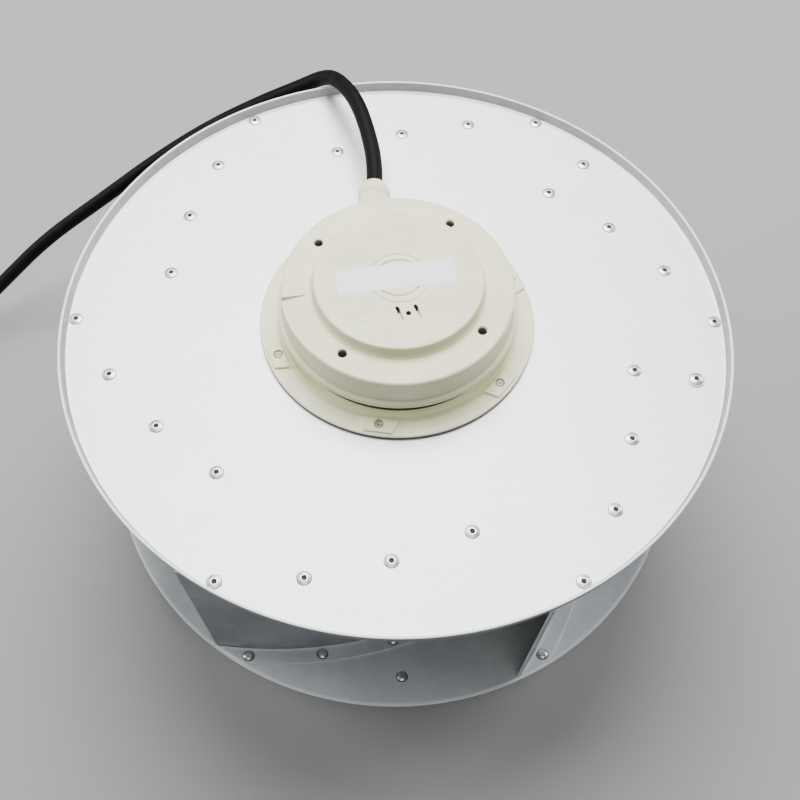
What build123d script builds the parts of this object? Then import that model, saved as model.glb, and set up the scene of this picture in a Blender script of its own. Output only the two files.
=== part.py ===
from build123d import *
import os
from math import asin, atan2, cos, degrees, pi, radians, sin, sqrt, tan

os.makedirs("parts", exist_ok=True)

# A centrifugal fan: a riveted wheel of backward-curved blades turns with the
# outer rotor of the motor in its middle, and the motor's fixed flange faces up.
# It stands on the wheel's inlet collar. Sizes are in millimetres.

# Clearances
seat = 0.05
running_gap = 1.2
air_gap = 0.5
winding_gap = 0.3
ball_gap = 0.3
screw_gap = 0.1

# Small and hidden round pieces are drawn with this many flat sides.
round_sides = 12
ring_sides = 24

# Wheel sheets
wheel_radius = 255.0
wheel_height = 247.0
sheet = 2.0
lip_height = 8.5
lip_bend = 1.8
outlet_depth = 185.3
shroud_radius = 248.0
shroud_slope = 12.0
inlet_radius = 155.0
throat_bend = 37.0
throat_cones = 4

# Blades
blade_count = 6
blade_sheet = 1.5
tip_inset = 2.0
blade_root_radius = 173.5
blade_tip_angle = -4.2
blade_wrap = 57.2
blade_curve = 357.0
blade_lean = 4.5
flange_width = 17.0
foot_inset = 1.5

# Rivets
rivet_radius = 4.75
rivet_sides = 12
rivet_height = 1.8
rivet_line = 7.7
first_plate_rivet = 29.0
first_shroud_rivet = 35.0
rivet_pitch = 59.5
plate_rivet_rows = 4
shroud_rivet_rows = 3
balance_washer_radius = 6.4
balance_washer_height = 1.2
balance_inset = 25.5
balance_angles = (-10.97, 48.13)
shroud_balance_inset = 25.0
shroud_balance_angle = -86.2

# Rotor
bell_radius = 86.0
bell_bore = 78.0
bell_depth = 112.0
bell_floor = 8.0
bell_chamfer = 6.0
hub_radius = 18.0
hub_length = 15.0
ring_radius = 105.0
ring_height = 4.0
ledge_radius = 89.8
ledge_height = 6.6
lug_count = 6
lug_circle = 96.0
lug_angle = -96.0
lug_inner_width = 27.8
lug_outer_width = 21.0
lug_inner_radius = 91.5
lug_outer_radius = 102.5
lug_height = 1.5
screw_radius = 3.0
screw_head_radius = 5.0
screw_head_height = 4.0
screw_tip_depth = 1.0

# Motor core and bearings
stack_height = 55.0
stack_radius = 65.5
slot_count = 12
slot_width = 9.0
slot_depth = 19.0
slot_mouth = 2.5
slot_cover = 4.0
winding_overhang = 15.0
winding_clearance = 6.0
shaft_radius = 10.0
shaft_shoulder = 12.0
tube_radius = 30.0
bearing_radius = 23.5
bearing_width = 14.0
bearing_ring = 3.5
ball_set_width = 8.0
spring_height = 2.5
circlip_radius = 12.5
circlip_height = 1.2
circlip_margin = 0.6
cap_thickness = 12.0

# Fixed flange
face_height = 35.7
face_radius = 86.0
face_chamfer = 1.8
wall_lean = 1.2
lip_radius = 90.3
lip_top_radius = 87.9
lip_top_height = 15.3
lip_edge_height = 13.4
lip_under_height = 10.4
skirt_radius = 83.0
skirt_thickness = 3.5
flange_thickness = 18.7
disc_height = 10.9
disc_radius = 62.3
disc_lean = 3.2
ring_groove_outer = 22.0
ring_groove_inner = 17.5
ring_groove_depth = 0.8
mounting_circle = 144.0
mounting_count = 4
mounting_angle = 58.7
mounting_hole = 3.4
mounting_depth = 15.0
ramp_angle = 190.0
ramp_span = 38.0
ramp_depth = 3.2

# Cable gland and cable
cable_diameter = 13.0
cable_sides = 12
gland_x = -22.5
gland_drop = 12.2
boss_radius = 12.0
boss_start = 60.0
boss_end = 93.0
gland_radius = 11.8
gland_collar = 5.0
thread_radius = 10.0
thread_depth = 12.0
stub_radius = 9.4
stub_length = 8.0
gland_bore = 7.2
wire_way_radius = 6.0
wire_way_y = 74.0
nut_length = 14.0
nut_grip = 8.0
nut_bore_depth = 9.0
nut_taper = 29.0
nut_hole_radius = 6.9
cable_start = 99.0

# Coil of spare cable and its bare end
coil_centre = (-474.0, -87.0)
coil_outer_turn = 82.0
coil_inner_turn = 55.0
coil_start_angle = 157.0
coil_top_radius = 66.5
coil_top_width = 23.0
coil_lead_radius = 70.8
coil_lead_height = 17.8
coil_end_angle = 286.0
coil_top_sector = 105.0
coil_tie_angle = 20.0
coil_tie_width = 4.8
coil_tie_strap = 1.2
coil_tie_slack = 1.25
coil_tie_gap = 0.1
coil_tie_margin = 1.0
core_radius = 1.6
core_pitch = 3.5
core_length = 40.0
ferrule_radius = 1.3
ferrule_length = 10.0

plate_top = wheel_height - lip_height
plate_under = plate_top - sheet
shroud_edge = wheel_height - outlet_depth
plate_bore = bell_radius + seat
blade_tip_radius = wheel_radius - tip_inset
blade_foot_radius = shroud_radius - foot_inset
balance_radius = wheel_radius - balance_inset
shroud_balance_radius = shroud_radius - shroud_balance_inset
face_z = wheel_height + face_height
wall_foot_radius = face_radius + wall_lean
disc_foot_radius = disc_radius + disc_lean
disc_top = face_z + disc_height
ring_top = plate_top + ring_height
ledge_top = plate_top + ledge_height
bell_bottom = plate_top - bell_depth
floor_top = bell_bottom + bell_floor
hub_top = floor_top + hub_length
stack_bottom = floor_top + winding_clearance + winding_overhang
lug_top = ring_top + lug_height
bore_end = disc_top - cap_thickness
upper_bearing_top = bore_end - spring_height
upper_bearing_bottom = upper_bearing_top - bearing_width
flange_under = face_z - flange_thickness
gland_z = face_z - gland_drop
gland_face = boss_end + gland_collar
thread_end = boss_end - thread_depth + seat


def save(piece, name):
    piece.label = name
    export_step(piece, f"parts/{name}.step")


def polar(radius, angle):
    return Vector(radius * cos(radians(angle)), radius * sin(radians(angle)))


slope = tan(radians(shroud_slope))
throat_turn = 90 - shroud_slope
throat_reach = throat_bend / cos(radians(throat_turn / throat_cones / 2))
throat_drop = (shroud_radius - inlet_radius - throat_bend) * slope
throat_z = shroud_edge - throat_drop - throat_bend / cos(radians(shroud_slope))


def shroud_z(radius):
    return shroud_edge - (shroud_radius - radius) * slope


def air_side(outer_radius):
    """The shroud's air side: down the cone, round the throat and down the collar. The
    throat's round is drawn as short cones that touch it."""
    centre = Vector(inlet_radius + throat_bend, throat_z)
    points = [Vector(outer_radius, shroud_z(outer_radius))]
    for step in range(throat_cones):
        turn = 90 + shroud_slope + (step + 0.5) * throat_turn / throat_cones
        points.append(centre + polar(throat_reach, turn))
    return Polyline(*points, (inlet_radius, 0))


with BuildPart() as back_plate:
    with BuildSketch(Plane.XZ):
        with BuildLine():
            Polyline(
                (plate_bore, plate_top),
                (wheel_radius - sheet, plate_top),
                (wheel_radius - sheet, wheel_height),
                (wheel_radius, wheel_height),
                (wheel_radius, plate_under + lip_bend),
                (wheel_radius - lip_bend, plate_under),
                (plate_bore, plate_under),
                close=True,
            )
        make_face()
    revolve(axis=Axis.Z)
    with Locations(Plane.XY.offset(plate_top)):
        with PolarLocations(lug_circle, lug_count, start_angle=lug_angle):
            Hole(screw_radius + screw_gap, depth=sheet)
save(back_plate.part, "back_plate")

with BuildPart() as shroud:
    with BuildSketch(Plane.XZ):
        with BuildLine():
            offset(air_side(shroud_radius), amount=sheet, side=Side.LEFT)
        make_face()
    revolve(axis=Axis.Z)
save(shroud.part, "shroud")

# One blade is a leaning arc of sheet with a flange bent outwards at each end. The
# arc's centre is found from the blade's two ends and its curvature.
tip = polar(blade_tip_radius, blade_tip_angle)
root = polar(blade_root_radius, blade_tip_angle + blade_wrap)
chord = root - tip
centre_offset = sqrt(blade_curve**2 - (chord.length / 2) ** 2)
blade_centre = (tip + root) / 2 + chord.normalized().rotate(Axis.Z, 90) * centre_offset
to_tip = tip - blade_centre
start_angle = degrees(atan2(to_tip.Y, to_tip.X))
arc_angle = 2 * degrees(asin(chord.length / 2 / blade_curve))
blade_axis = Axis((blade_centre.X, blade_centre.Y, 0), (0, 0, 1))
blade_plane = Plane(
    origin=(blade_centre.X, blade_centre.Y, 0),
    x_dir=(cos(radians(start_angle)), sin(radians(start_angle)), 0),
    z_dir=(sin(radians(start_angle)), -cos(radians(start_angle)), 0),
)
lean_per_mm = blade_lean / (plate_under - shroud_edge)
foot_curve = blade_curve - lean_per_mm * plate_under

with BuildPart() as blade_room:
    with BuildSketch(Plane.XZ):
        with BuildLine():
            floor_line = air_side(blade_foot_radius)
            Polyline(
                floor_line @ 1,
                (plate_bore, 0),
                (plate_bore, plate_under),
                (blade_tip_radius, plate_under),
                floor_line @ 0,
            )
        make_face()
    revolve(axis=Axis.Z)

with BuildPart() as foot_layer:
    with BuildSketch(Plane.XZ):
        with BuildLine():
            offset(air_side(blade_foot_radius), amount=blade_sheet, side=Side.RIGHT)
        make_face()
    revolve(axis=Axis.Z)
    with BuildSketch(blade_plane):
        with Locations((blade_curve - blade_lean, 0)):
            Rectangle(flange_width, wheel_height, align=(Align.MIN, Align.MIN))
    revolve(axis=blade_axis, revolution_arc=arc_angle, mode=Mode.INTERSECT)

with BuildPart() as blade:
    with BuildSketch(blade_plane):
        with BuildLine():
            Polyline(
                (foot_curve, 0),
                (blade_curve, plate_under),
                (blade_curve + flange_width, plate_under),
                (blade_curve + flange_width, plate_under - blade_sheet),
                (blade_curve + blade_sheet, plate_under - blade_sheet),
                (foot_curve + blade_sheet, 0),
                close=True,
            )
        make_face()
    revolve(axis=blade_axis, revolution_arc=arc_angle)
    add(blade_room.part, mode=Mode.INTERSECT)
    add(foot_layer.part)
for number in range(blade_count):
    turned = blade.part.rotate(Axis.Z, number * 360 / blade_count)
    save(turned, f"blade_{number + 1}")


def rivet_points(curve, first, rows):
    """Points along every blade's flange, level with the floor."""
    points = []
    for number in range(blade_count):
        for row in range(rows):
            turn = start_angle + degrees((first + row * rivet_pitch) / curve)
            point = blade_centre + polar(curve, turn)
            points.append(point.rotate(Axis.Z, number * 360 / blade_count))
    return points


def on_cone(point, lift):
    """A plane on the shroud's cone, lifted off its air side along its normal."""
    radius = point.length
    out = Vector(point.X, point.Y) / radius
    normal = Vector(-slope * out.X, -slope * out.Y, 1).normalized()
    foot = Vector(point.X, point.Y, shroud_z(radius))
    return Plane(origin=foot + normal * lift, z_dir=normal)


rivet_head = extrude(RegularPolygon(rivet_radius, rivet_sides), amount=rivet_height)


with BuildPart() as back_plate_rivets:
    with Locations(Plane.XY.offset(plate_top)):
        with Locations(*rivet_points(blade_curve + rivet_line, first_plate_rivet, plate_rivet_rows)):
            add(rivet_head)
save(back_plate_rivets.part, "back_plate_rivets")

foot_curve_mid = blade_curve - blade_lean + rivet_line
foot_points = rivet_points(foot_curve_mid, first_shroud_rivet, shroud_rivet_rows)
with BuildPart() as shroud_rivets:
    with Locations(*[on_cone(point, blade_sheet + seat) for point in foot_points]):
        add(rivet_head)
save(shroud_rivets.part, "shroud_rivets")

# The wheel is balanced by a riveted washer and two plain rivets.
washer_disc = extrude(RegularPolygon(balance_washer_radius, rivet_sides), amount=balance_washer_height)
washer_point = polar(balance_radius, balance_angles[0])
plain_point = polar(balance_radius, balance_angles[1])
with BuildPart() as balance_washer:
    with Locations((washer_point.X, washer_point.Y, plate_top)):
        add(washer_disc)
save(balance_washer.part, "balance_washer")

with BuildPart() as balance_rivets:
    with Locations((washer_point.X, washer_point.Y, plate_top + balance_washer_height)):
        add(rivet_head)
    with Locations((plain_point.X, plain_point.Y, plate_top)):
        add(rivet_head)
    with Locations(on_cone(polar(shroud_balance_radius, shroud_balance_angle), seat)):
        add(rivet_head)
save(balance_rivets.part, "balance_rivets")

with BuildPart() as rotor_housing:
    with BuildSketch(Plane.XZ):
        with BuildLine():
            Polyline(
                (shaft_radius + seat, bell_bottom),
                (bell_radius - bell_chamfer, bell_bottom),
                (bell_radius, bell_bottom + bell_chamfer),
                (bell_radius, plate_top),
                (ring_radius, plate_top),
                (ring_radius, ring_top),
                (ledge_radius, ring_top),
                (ledge_radius, ledge_top),
                (bell_bore, ledge_top),
                (bell_bore, floor_top),
                (hub_radius, floor_top),
                (hub_radius, hub_top),
                (shaft_radius + seat, hub_top),
                close=True,
            )
        make_face()
    revolve(axis=Axis.Z)
    with BuildSketch(Plane.XY.offset(ring_top)):
        with PolarLocations(0, lug_count, start_angle=lug_angle):
            Polygon(
                (lug_inner_radius, -lug_inner_width / 2),
                (lug_outer_radius, -lug_outer_width / 2),
                (lug_outer_radius, lug_outer_width / 2),
                (lug_inner_radius, lug_inner_width / 2),
                align=None,
            )
    extrude(amount=lug_height)
    with Locations(Plane.XY.offset(lug_top)):
        with PolarLocations(lug_circle, lug_count, start_angle=lug_angle):
            Hole(screw_radius + screw_gap, depth=lug_top - plate_top)
save(rotor_housing.part, "rotor_housing")

with BuildPart() as flange_screws:
    with BuildSketch(Plane.XY.offset(plate_under)):
        with PolarLocations(lug_circle, lug_count, start_angle=lug_angle):
            RegularPolygon(screw_head_radius, 6, major_radius=False)
    extrude(amount=-screw_head_height)
    with BuildSketch(Plane.XY.offset(plate_under)):
        with PolarLocations(lug_circle, lug_count, start_angle=lug_angle):
            RegularPolygon(screw_radius, round_sides)
    extrude(amount=lug_top - screw_tip_depth - plate_under)
save(flange_screws.part, "flange_screws")

with BuildPart() as rotor_core:
    with BuildSketch(Plane.XY.offset(stack_bottom)):
        Circle(bell_bore - seat)
        Circle(stack_radius + air_gap, mode=Mode.SUBTRACT)
    extrude(amount=stack_height)
save(rotor_core.part, "rotor_core")

with BuildPart() as shaft:
    with BuildSketch(Plane.XZ):
        with BuildLine():
            Polyline(
                (0, bell_bottom),
                (shaft_radius, bell_bottom),
                (shaft_radius, hub_top + bearing_width),
                (shaft_shoulder, hub_top + bearing_width),
                (shaft_shoulder, upper_bearing_bottom),
                (shaft_radius, upper_bearing_bottom),
                (shaft_radius, upper_bearing_top + circlip_height + circlip_margin),
                (0, upper_bearing_top + circlip_height + circlip_margin),
                close=True,
            )
        make_face()
    revolve(axis=Axis.Z)
save(shaft.part, "shaft")


bearing_bases = (hub_top, upper_bearing_bottom)
with BuildPart() as bearing_outer_rings:
    for base in bearing_bases:
        with BuildSketch(Plane.XY.offset(base)):
            Circle(bearing_radius)
            Circle(bearing_radius - bearing_ring, mode=Mode.SUBTRACT)
        extrude(amount=bearing_width)
save(bearing_outer_rings.part, "bearing_outer_rings")

with BuildPart() as bearing_inner_rings:
    for base in bearing_bases:
        with BuildSketch(Plane.XY.offset(base)):
            Circle(shaft_radius + bearing_ring)
            Circle(shaft_radius + seat, mode=Mode.SUBTRACT)
        extrude(amount=bearing_width)
save(bearing_inner_rings.part, "bearing_inner_rings")

ball_inset = (bearing_width - ball_set_width) / 2
ball_ring_inside = (shaft_radius + bearing_ring + seat) / cos(pi / ring_sides)
with BuildPart() as bearing_ball_sets:
    for base in bearing_bases:
        with BuildSketch(Plane.XY.offset(base + ball_inset)):
            RegularPolygon(bearing_radius - bearing_ring - ball_gap, ring_sides)
            RegularPolygon(ball_ring_inside, ring_sides, mode=Mode.SUBTRACT)
        extrude(amount=ball_set_width)
save(bearing_ball_sets.part, "bearing_ball_sets")

with BuildPart() as circlip:
    with BuildSketch(Plane.XY.offset(upper_bearing_top)):
        RegularPolygon(circlip_radius, ring_sides)
        RegularPolygon(shaft_radius + 3 * seat, ring_sides, mode=Mode.SUBTRACT)
    extrude(amount=circlip_height)
save(circlip.part, "circlip")

with BuildPart() as preload_spring:
    with BuildSketch(Plane.XY.offset(upper_bearing_top)):
        RegularPolygon(bearing_radius - seat, ring_sides)
        RegularPolygon(bearing_radius - bearing_ring, ring_sides, mode=Mode.SUBTRACT)
    extrude(amount=spring_height)
save(preload_spring.part, "preload_spring")

slot_outer = stack_radius - slot_cover
slot_middle = slot_outer - slot_depth / 2
with BuildPart() as stator_core:
    with BuildSketch(Plane.XY.offset(stack_bottom)):
        Circle(stack_radius)
        Circle(tube_radius + seat, mode=Mode.SUBTRACT)
        with PolarLocations(slot_middle, slot_count):
            Rectangle(slot_depth, slot_width, mode=Mode.SUBTRACT)
        with PolarLocations(slot_outer, slot_count):
            Rectangle(
                2 * slot_cover,
                slot_mouth,
                align=(Align.MIN, Align.CENTER),
                mode=Mode.SUBTRACT,
            )
    extrude(amount=stack_height)
save(stator_core.part, "stator_core")

# Coil sides in the slots join the end turns above and below the core.
winding_outer = slot_outer - winding_gap
winding_inner = slot_outer - slot_depth + winding_gap
with BuildPart() as windings:
    for base in (stack_bottom - winding_gap - winding_overhang, stack_bottom + stack_height + winding_gap):
        with BuildSketch(Plane.XY.offset(base)):
            RegularPolygon(winding_outer, ring_sides)
            RegularPolygon(winding_inner, ring_sides, mode=Mode.SUBTRACT)
        extrude(amount=winding_overhang)
    with BuildSketch(Plane.XY.offset(stack_bottom - winding_gap)):
        with PolarLocations(slot_middle, slot_count):
            Rectangle(slot_depth - 4 * winding_gap, slot_width - 2 * winding_gap)
    extrude(amount=stack_height + 2 * winding_gap)
save(windings.part, "windings")

with BuildPart() as stator_flange:
    with BuildSketch(Plane.XZ):
        with BuildLine():
            Polyline(
                (0, disc_top),
                (disc_radius, disc_top),
                (disc_foot_radius, face_z),
                (face_radius - face_chamfer, face_z),
                (face_radius, face_z - face_chamfer),
                (wall_foot_radius, wheel_height + lip_top_height),
                (lip_top_radius, wheel_height + lip_top_height),
                (lip_radius, wheel_height + lip_edge_height),
                (lip_radius, wheel_height + lip_under_height),
                (skirt_radius, wheel_height + lip_under_height),
                (skirt_radius, ledge_top + running_gap),
                (skirt_radius - skirt_thickness, ledge_top + running_gap),
                (skirt_radius - skirt_thickness, flange_under),
                (tube_radius, flange_under),
                (tube_radius, hub_top),
                (bearing_radius + seat, hub_top),
                (bearing_radius + seat, bore_end),
                (0, bore_end),
                close=True,
            )
        make_face()
    revolve(axis=Axis.Z)
    with BuildSketch(Plane.XY.offset(disc_top)):
        Circle(ring_groove_outer)
        Circle(ring_groove_inner, mode=Mode.SUBTRACT)
    extrude(amount=-ring_groove_depth, mode=Mode.SUBTRACT)
    with BuildSketch(Plane(origin=(gland_x, boss_start, gland_z), z_dir=(0, 1, 0))):
        Circle(boss_radius)
    extrude(amount=boss_end - boss_start)
    with BuildSketch(Plane(origin=(gland_x, boss_end, gland_z), z_dir=(0, 1, 0))):
        Circle(thread_radius + seat)
    extrude(amount=-thread_depth, mode=Mode.SUBTRACT)
    with BuildSketch(Plane(origin=(gland_x, boss_end, gland_z), z_dir=(0, 1, 0))):
        Circle(wire_way_radius)
    extrude(amount=wire_way_y - boss_end, mode=Mode.SUBTRACT)
    with BuildSketch(Plane.XY.offset(flange_under)):
        with Locations((gland_x, wire_way_y)):
            Circle(wire_way_radius)
    extrude(amount=gland_z - flange_under, mode=Mode.SUBTRACT)
    with Locations(Plane.XY.offset(face_z)):
        with PolarLocations(mounting_circle / 2, mounting_count, start_angle=mounting_angle):
            Hole(mounting_hole, depth=mounting_depth)
    ramp_start = polar(disc_foot_radius, ramp_angle)
    ramp_low = polar(wall_foot_radius, ramp_angle)
    ramp_end = polar(wall_foot_radius, ramp_angle + ramp_span)
    low_corner = Vector(ramp_low.X, ramp_low.Y, -ramp_depth)
    tilt = (low_corner - ramp_start).cross(ramp_end - ramp_start)
    ramp = Plane(origin=ramp_start + Vector(0, 0, face_z), x_dir=ramp_low - ramp_start, z_dir=tilt)
    with BuildSketch(ramp):
        with BuildLine():
            low_side = ramp.to_local_coords(low_corner + Vector(0, 0, face_z)) * 1.3
            high_side = ramp.to_local_coords(ramp_end + Vector(0, 0, face_z)) * 1.3
            Polyline(
                (0, 0),
                (low_side.X, low_side.Y),
                (high_side.X, high_side.Y),
                close=True,
            )
        make_face()
    extrude(amount=2 * ramp_depth, dir=(0, 0, 1), mode=Mode.SUBTRACT)
save(stator_flange.part, "stator_flange")


def along_gland(start):
    """A plane square to the gland's axis, at a distance from the fan's axis."""
    return Plane(origin=(gland_x, start, gland_z), x_dir=(1, 0, 0), z_dir=(0, 1, 0))


def gland_prism(radius, start, length, mode=Mode.ADD):
    with BuildSketch(along_gland(start)) as outline:
        RegularPolygon(radius, round_sides)
    return extrude(outline.sketch, amount=length)


cable_gland = (
    gland_prism(thread_radius, thread_end, thread_depth)
    + gland_prism(gland_radius, boss_end, gland_collar)
    + gland_prism(stub_radius, gland_face, stub_length)
    - gland_prism(gland_bore, thread_end, gland_face + stub_length - thread_end)
)
save(cable_gland, "cable_gland")

with BuildPart() as gland_nut:
    with BuildSketch(along_gland(gland_face)):
        RegularPolygon(gland_radius, round_sides)
    extrude(amount=nut_grip)
    with BuildSketch(along_gland(gland_face + nut_grip)):
        RegularPolygon(gland_radius, round_sides)
    extrude(amount=nut_length - nut_grip, taper=nut_taper)
    with BuildSketch(along_gland(gland_face)):
        RegularPolygon(stub_radius + seat, round_sides)
    extrude(amount=nut_bore_depth, mode=Mode.SUBTRACT)
    with BuildSketch(along_gland(gland_face + nut_bore_depth)):
        RegularPolygon(nut_hole_radius, round_sides)
    extrude(amount=nut_length, mode=Mode.SUBTRACT)
save(gland_nut.part, "gland_nut")

with BuildPart() as gland_seal:
    with BuildSketch(along_gland(gland_face)):
        RegularPolygon(gland_bore - seat, round_sides)
        RegularPolygon(cable_diameter / 2 + seat, round_sides, mode=Mode.SUBTRACT)
    extrude(amount=stub_length)
save(gland_seal.part, "gland_seal")

# The cable leaves the gland, passes over the wheel's lip, drops beside the wheel
# and lies down on the floor, where the spare length is coiled.
cable_points = [
    (gland_x, cable_start, gland_z),
    (gland_x, 128, gland_z),
    (-29, 162, 271),
    (-41, 197, 274),
    (-58, 230, 275),
    (-85, 260, 266),
    (-124, 273, 238),
    (-170, 276, 200),
    (-226, 267, 156),
    (-283, 247, 113),
    (-340, 217, 75),
    (-394, 175, 46),
    (-438, 132, 27),
    (-477, 87, 12),
    (-509.3, 37.7, 6.5),
    (-530, -10, 6.5),
]


def bend_radii(points):
    """The largest arc that each corner's two runs allow."""
    radii = []
    for before, corner, after in zip(points, points[1:], points[2:]):
        run_in = Vector(*corner) - Vector(*before)
        run_out = Vector(*after) - Vector(*corner)
        turn = run_in.get_angle(run_out)
        shorter = min(run_in.length, run_out.length)
        radii.append(0.45 * shorter / tan(radians(turn / 2)))
    return radii


cable_radii = bend_radii(cable_points)
with BuildPart() as cable:
    with BuildLine() as cable_route:
        FilletPolyline(*cable_points, radius=cable_radii)
    with BuildSketch(Plane(origin=cable_points[0], z_dir=(0, 1, 0))):
        RegularPolygon(cable_diameter / 2, cable_sides)
    sweep(path=cable_route.wire())
save(cable.part, "cable")
route_length = cable_route.wire().length
cable_section = cable_sides / 2 * (cable_diameter / 2) ** 2 * sin(2 * pi / cable_sides)
tube_volume = cable_section * route_length
print("cable bend radii", [round(radius) for radius in cable_radii])
print("cable length", round(route_length), "volume ratio", cable.part.volume / tube_volume)

# The coil's turns lie flat with the last stretch on top of them. A short straight
# part joins the outer turn to the end of the tube.
coil_entry = polar(coil_outer_turn, coil_start_angle) + Vector(*coil_centre)
coil_end = polar(coil_lead_radius, coil_end_angle) + Vector(*coil_centre)
tube_end = Vector(cable_points[-1][0], cable_points[-1][1])
to_entry = coil_entry - tube_end
entry_angle = degrees(atan2(to_entry.Y, to_entry.X))
coil_radial = Vector(cos(radians(coil_end_angle)), sin(radians(coil_end_angle)), 0)
coil_tangent = coil_radial.rotate(Axis.Z, 90)
tie_radial = Vector(cos(radians(coil_tie_angle)), sin(radians(coil_tie_angle)), 0)
tie_plane = Plane(
    origin=(*coil_centre, 0),
    x_dir=tie_radial,
    z_dir=tie_radial.rotate(Axis.Z, -90),
)
coil_inside = coil_inner_turn - cable_diameter / 2
ring_width = coil_outer_turn - coil_inner_turn + cable_diameter
ring_middle = (coil_outer_turn + coil_inner_turn) / 2

with BuildPart() as cable_coil:
    with BuildSketch():
        with Locations(coil_centre):
            RegularPolygon(coil_outer_turn + cable_diameter / 2, ring_sides)
        with Locations((tube_end + coil_entry) / 2):
            Rectangle(to_entry.length, cable_diameter, rotation=entry_angle)
        with Locations(coil_centre):
            RegularPolygon(coil_inside, ring_sides, major_radius=False, mode=Mode.SUBTRACT)
    extrude(amount=cable_diameter)
    with BuildSketch(Plane(origin=(*coil_centre, cable_diameter), x_dir=coil_radial, z_dir=-coil_tangent)):
        with Locations((coil_top_radius, 0)):
            Rectangle(coil_top_width, cable_diameter, align=(Align.CENTER, Align.MIN))
    revolve(axis=Axis((*coil_centre, 0), (0, 0, -1)), revolution_arc=coil_top_sector)
    with BuildSketch(tie_plane):
        with Locations((ring_middle, 0)):
            Rectangle(ring_width + 2 * coil_tie_margin, coil_tie_slack, align=(Align.CENTER, Align.MIN))
    extrude(amount=coil_tie_width / 2 + seat, both=True, mode=Mode.SUBTRACT)
save(cable_coil.part, "cable_coil")

with BuildPart() as coil_tie:
    with BuildSketch(tie_plane):
        with Locations((ring_middle, 0)):
            Rectangle(
                ring_width + 2 * (coil_tie_gap + coil_tie_strap),
                cable_diameter + coil_tie_slack + coil_tie_strap,
                align=(Align.CENTER, Align.MIN),
            )
        with Locations((ring_middle, coil_tie_strap)):
            Rectangle(
                ring_width + 2 * coil_tie_gap,
                cable_diameter + coil_tie_slack - coil_tie_strap,
                align=(Align.CENTER, Align.MIN),
                mode=Mode.SUBTRACT,
            )
    extrude(amount=coil_tie_width / 2, both=True)
save(coil_tie.part, "coil_tie")

lead_plane = Plane(
    origin=(coil_end.X, coil_end.Y, coil_lead_height),
    x_dir=coil_radial,
    z_dir=coil_tangent,
)
with BuildPart() as cable_cores:
    with BuildSketch(lead_plane):
        with GridLocations(core_pitch, core_pitch, 2, 2):
            RegularPolygon(core_radius, 8)
    extrude(amount=core_length)
save(cable_cores.part, "cable_cores")

with BuildPart() as core_ferrules:
    with BuildSketch(lead_plane.offset(core_length)):
        with GridLocations(core_pitch, core_pitch, 2, 2):
            RegularPolygon(ferrule_radius, 8)
    extrude(amount=ferrule_length)
save(core_ferrules.part, "core_ferrules")
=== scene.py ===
import bmesh
import bpy
from math import acos, asin, atan2, ceil, cos, degrees, hypot, pi, radians, sin, sqrt, tan
from mathutils import Matrix, Vector


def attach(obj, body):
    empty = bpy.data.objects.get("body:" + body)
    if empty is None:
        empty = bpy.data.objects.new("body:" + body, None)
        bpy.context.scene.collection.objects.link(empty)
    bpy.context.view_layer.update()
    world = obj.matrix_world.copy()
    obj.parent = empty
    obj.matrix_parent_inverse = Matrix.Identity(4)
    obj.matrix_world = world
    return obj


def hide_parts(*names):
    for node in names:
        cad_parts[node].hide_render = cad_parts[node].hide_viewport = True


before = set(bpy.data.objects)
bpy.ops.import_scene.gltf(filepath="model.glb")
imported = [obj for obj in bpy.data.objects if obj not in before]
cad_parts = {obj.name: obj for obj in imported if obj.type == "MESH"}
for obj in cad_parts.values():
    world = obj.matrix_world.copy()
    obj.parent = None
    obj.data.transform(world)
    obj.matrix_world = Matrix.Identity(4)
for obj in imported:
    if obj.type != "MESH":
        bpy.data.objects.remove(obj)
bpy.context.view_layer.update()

# Sizes are in millimetres, and every mesh is brought to metres as it is made.
MM = 0.001

# Wheel
WHEEL_RADIUS = 255.0
WHEEL_HEIGHT = 247.0
SHEET = 2.0
LIP_HEIGHT = 8.5
LIP_LEAN = 1.4
SHROUD_RADIUS = 248.0
SHROUD_EDGE = 61.7
# Width of the band of painted highlight along the shroud's rim; the shroud's outline has a corner
# there.
HIGHLIGHT_BAND = 2.6
SHROUD_SLOPE = tan(radians(12.0))
INLET_RADIUS = 155.0
THROAT_BEND = 37.0
PLATE_TOP = WHEEL_HEIGHT - LIP_HEIGHT
PLATE_UNDER = PLATE_TOP - SHEET
PLATE_BORE = 86.05

# Blades
BLADE_COUNT = 6
BLADE_SHEET = 1.5
BLADE_TIP_RADIUS = 253.0
BLADE_FOOT_RADIUS = 245.3
BLADE_ROOT_RADIUS = 173.5
BLADE_TIP_ANGLE = -4.2
BLADE_WRAP = 57.2
BLADE_CURVE = 357.0
BLADE_LEAN = 6.0
BLADE_BEND = 3.0
PLATE_GAP = 0.02
FOOT_GAP = 0.06
FLANGE_WIDTH = 17.0
FOOT_WIDTH = 14.5

# Rivets
RIVET_RADIUS = 5.0
RIVET_HEIGHT = 1.35
RIVET_HOLE = 1.6
TAIL_RADIUS = 4.1
TAIL_HEIGHT = 1.6
SHADOW_RING_HEIGHT = 0.06
RIVET_LINE = 7.7
FIRST_PLATE_RIVET = 29.0
FIRST_SHROUD_RIVET = 32.5
RIVET_PITCH = 59.5
PLATE_RIVET_ROWS = 4
SHROUD_RIVET_ROWS = 3

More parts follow.
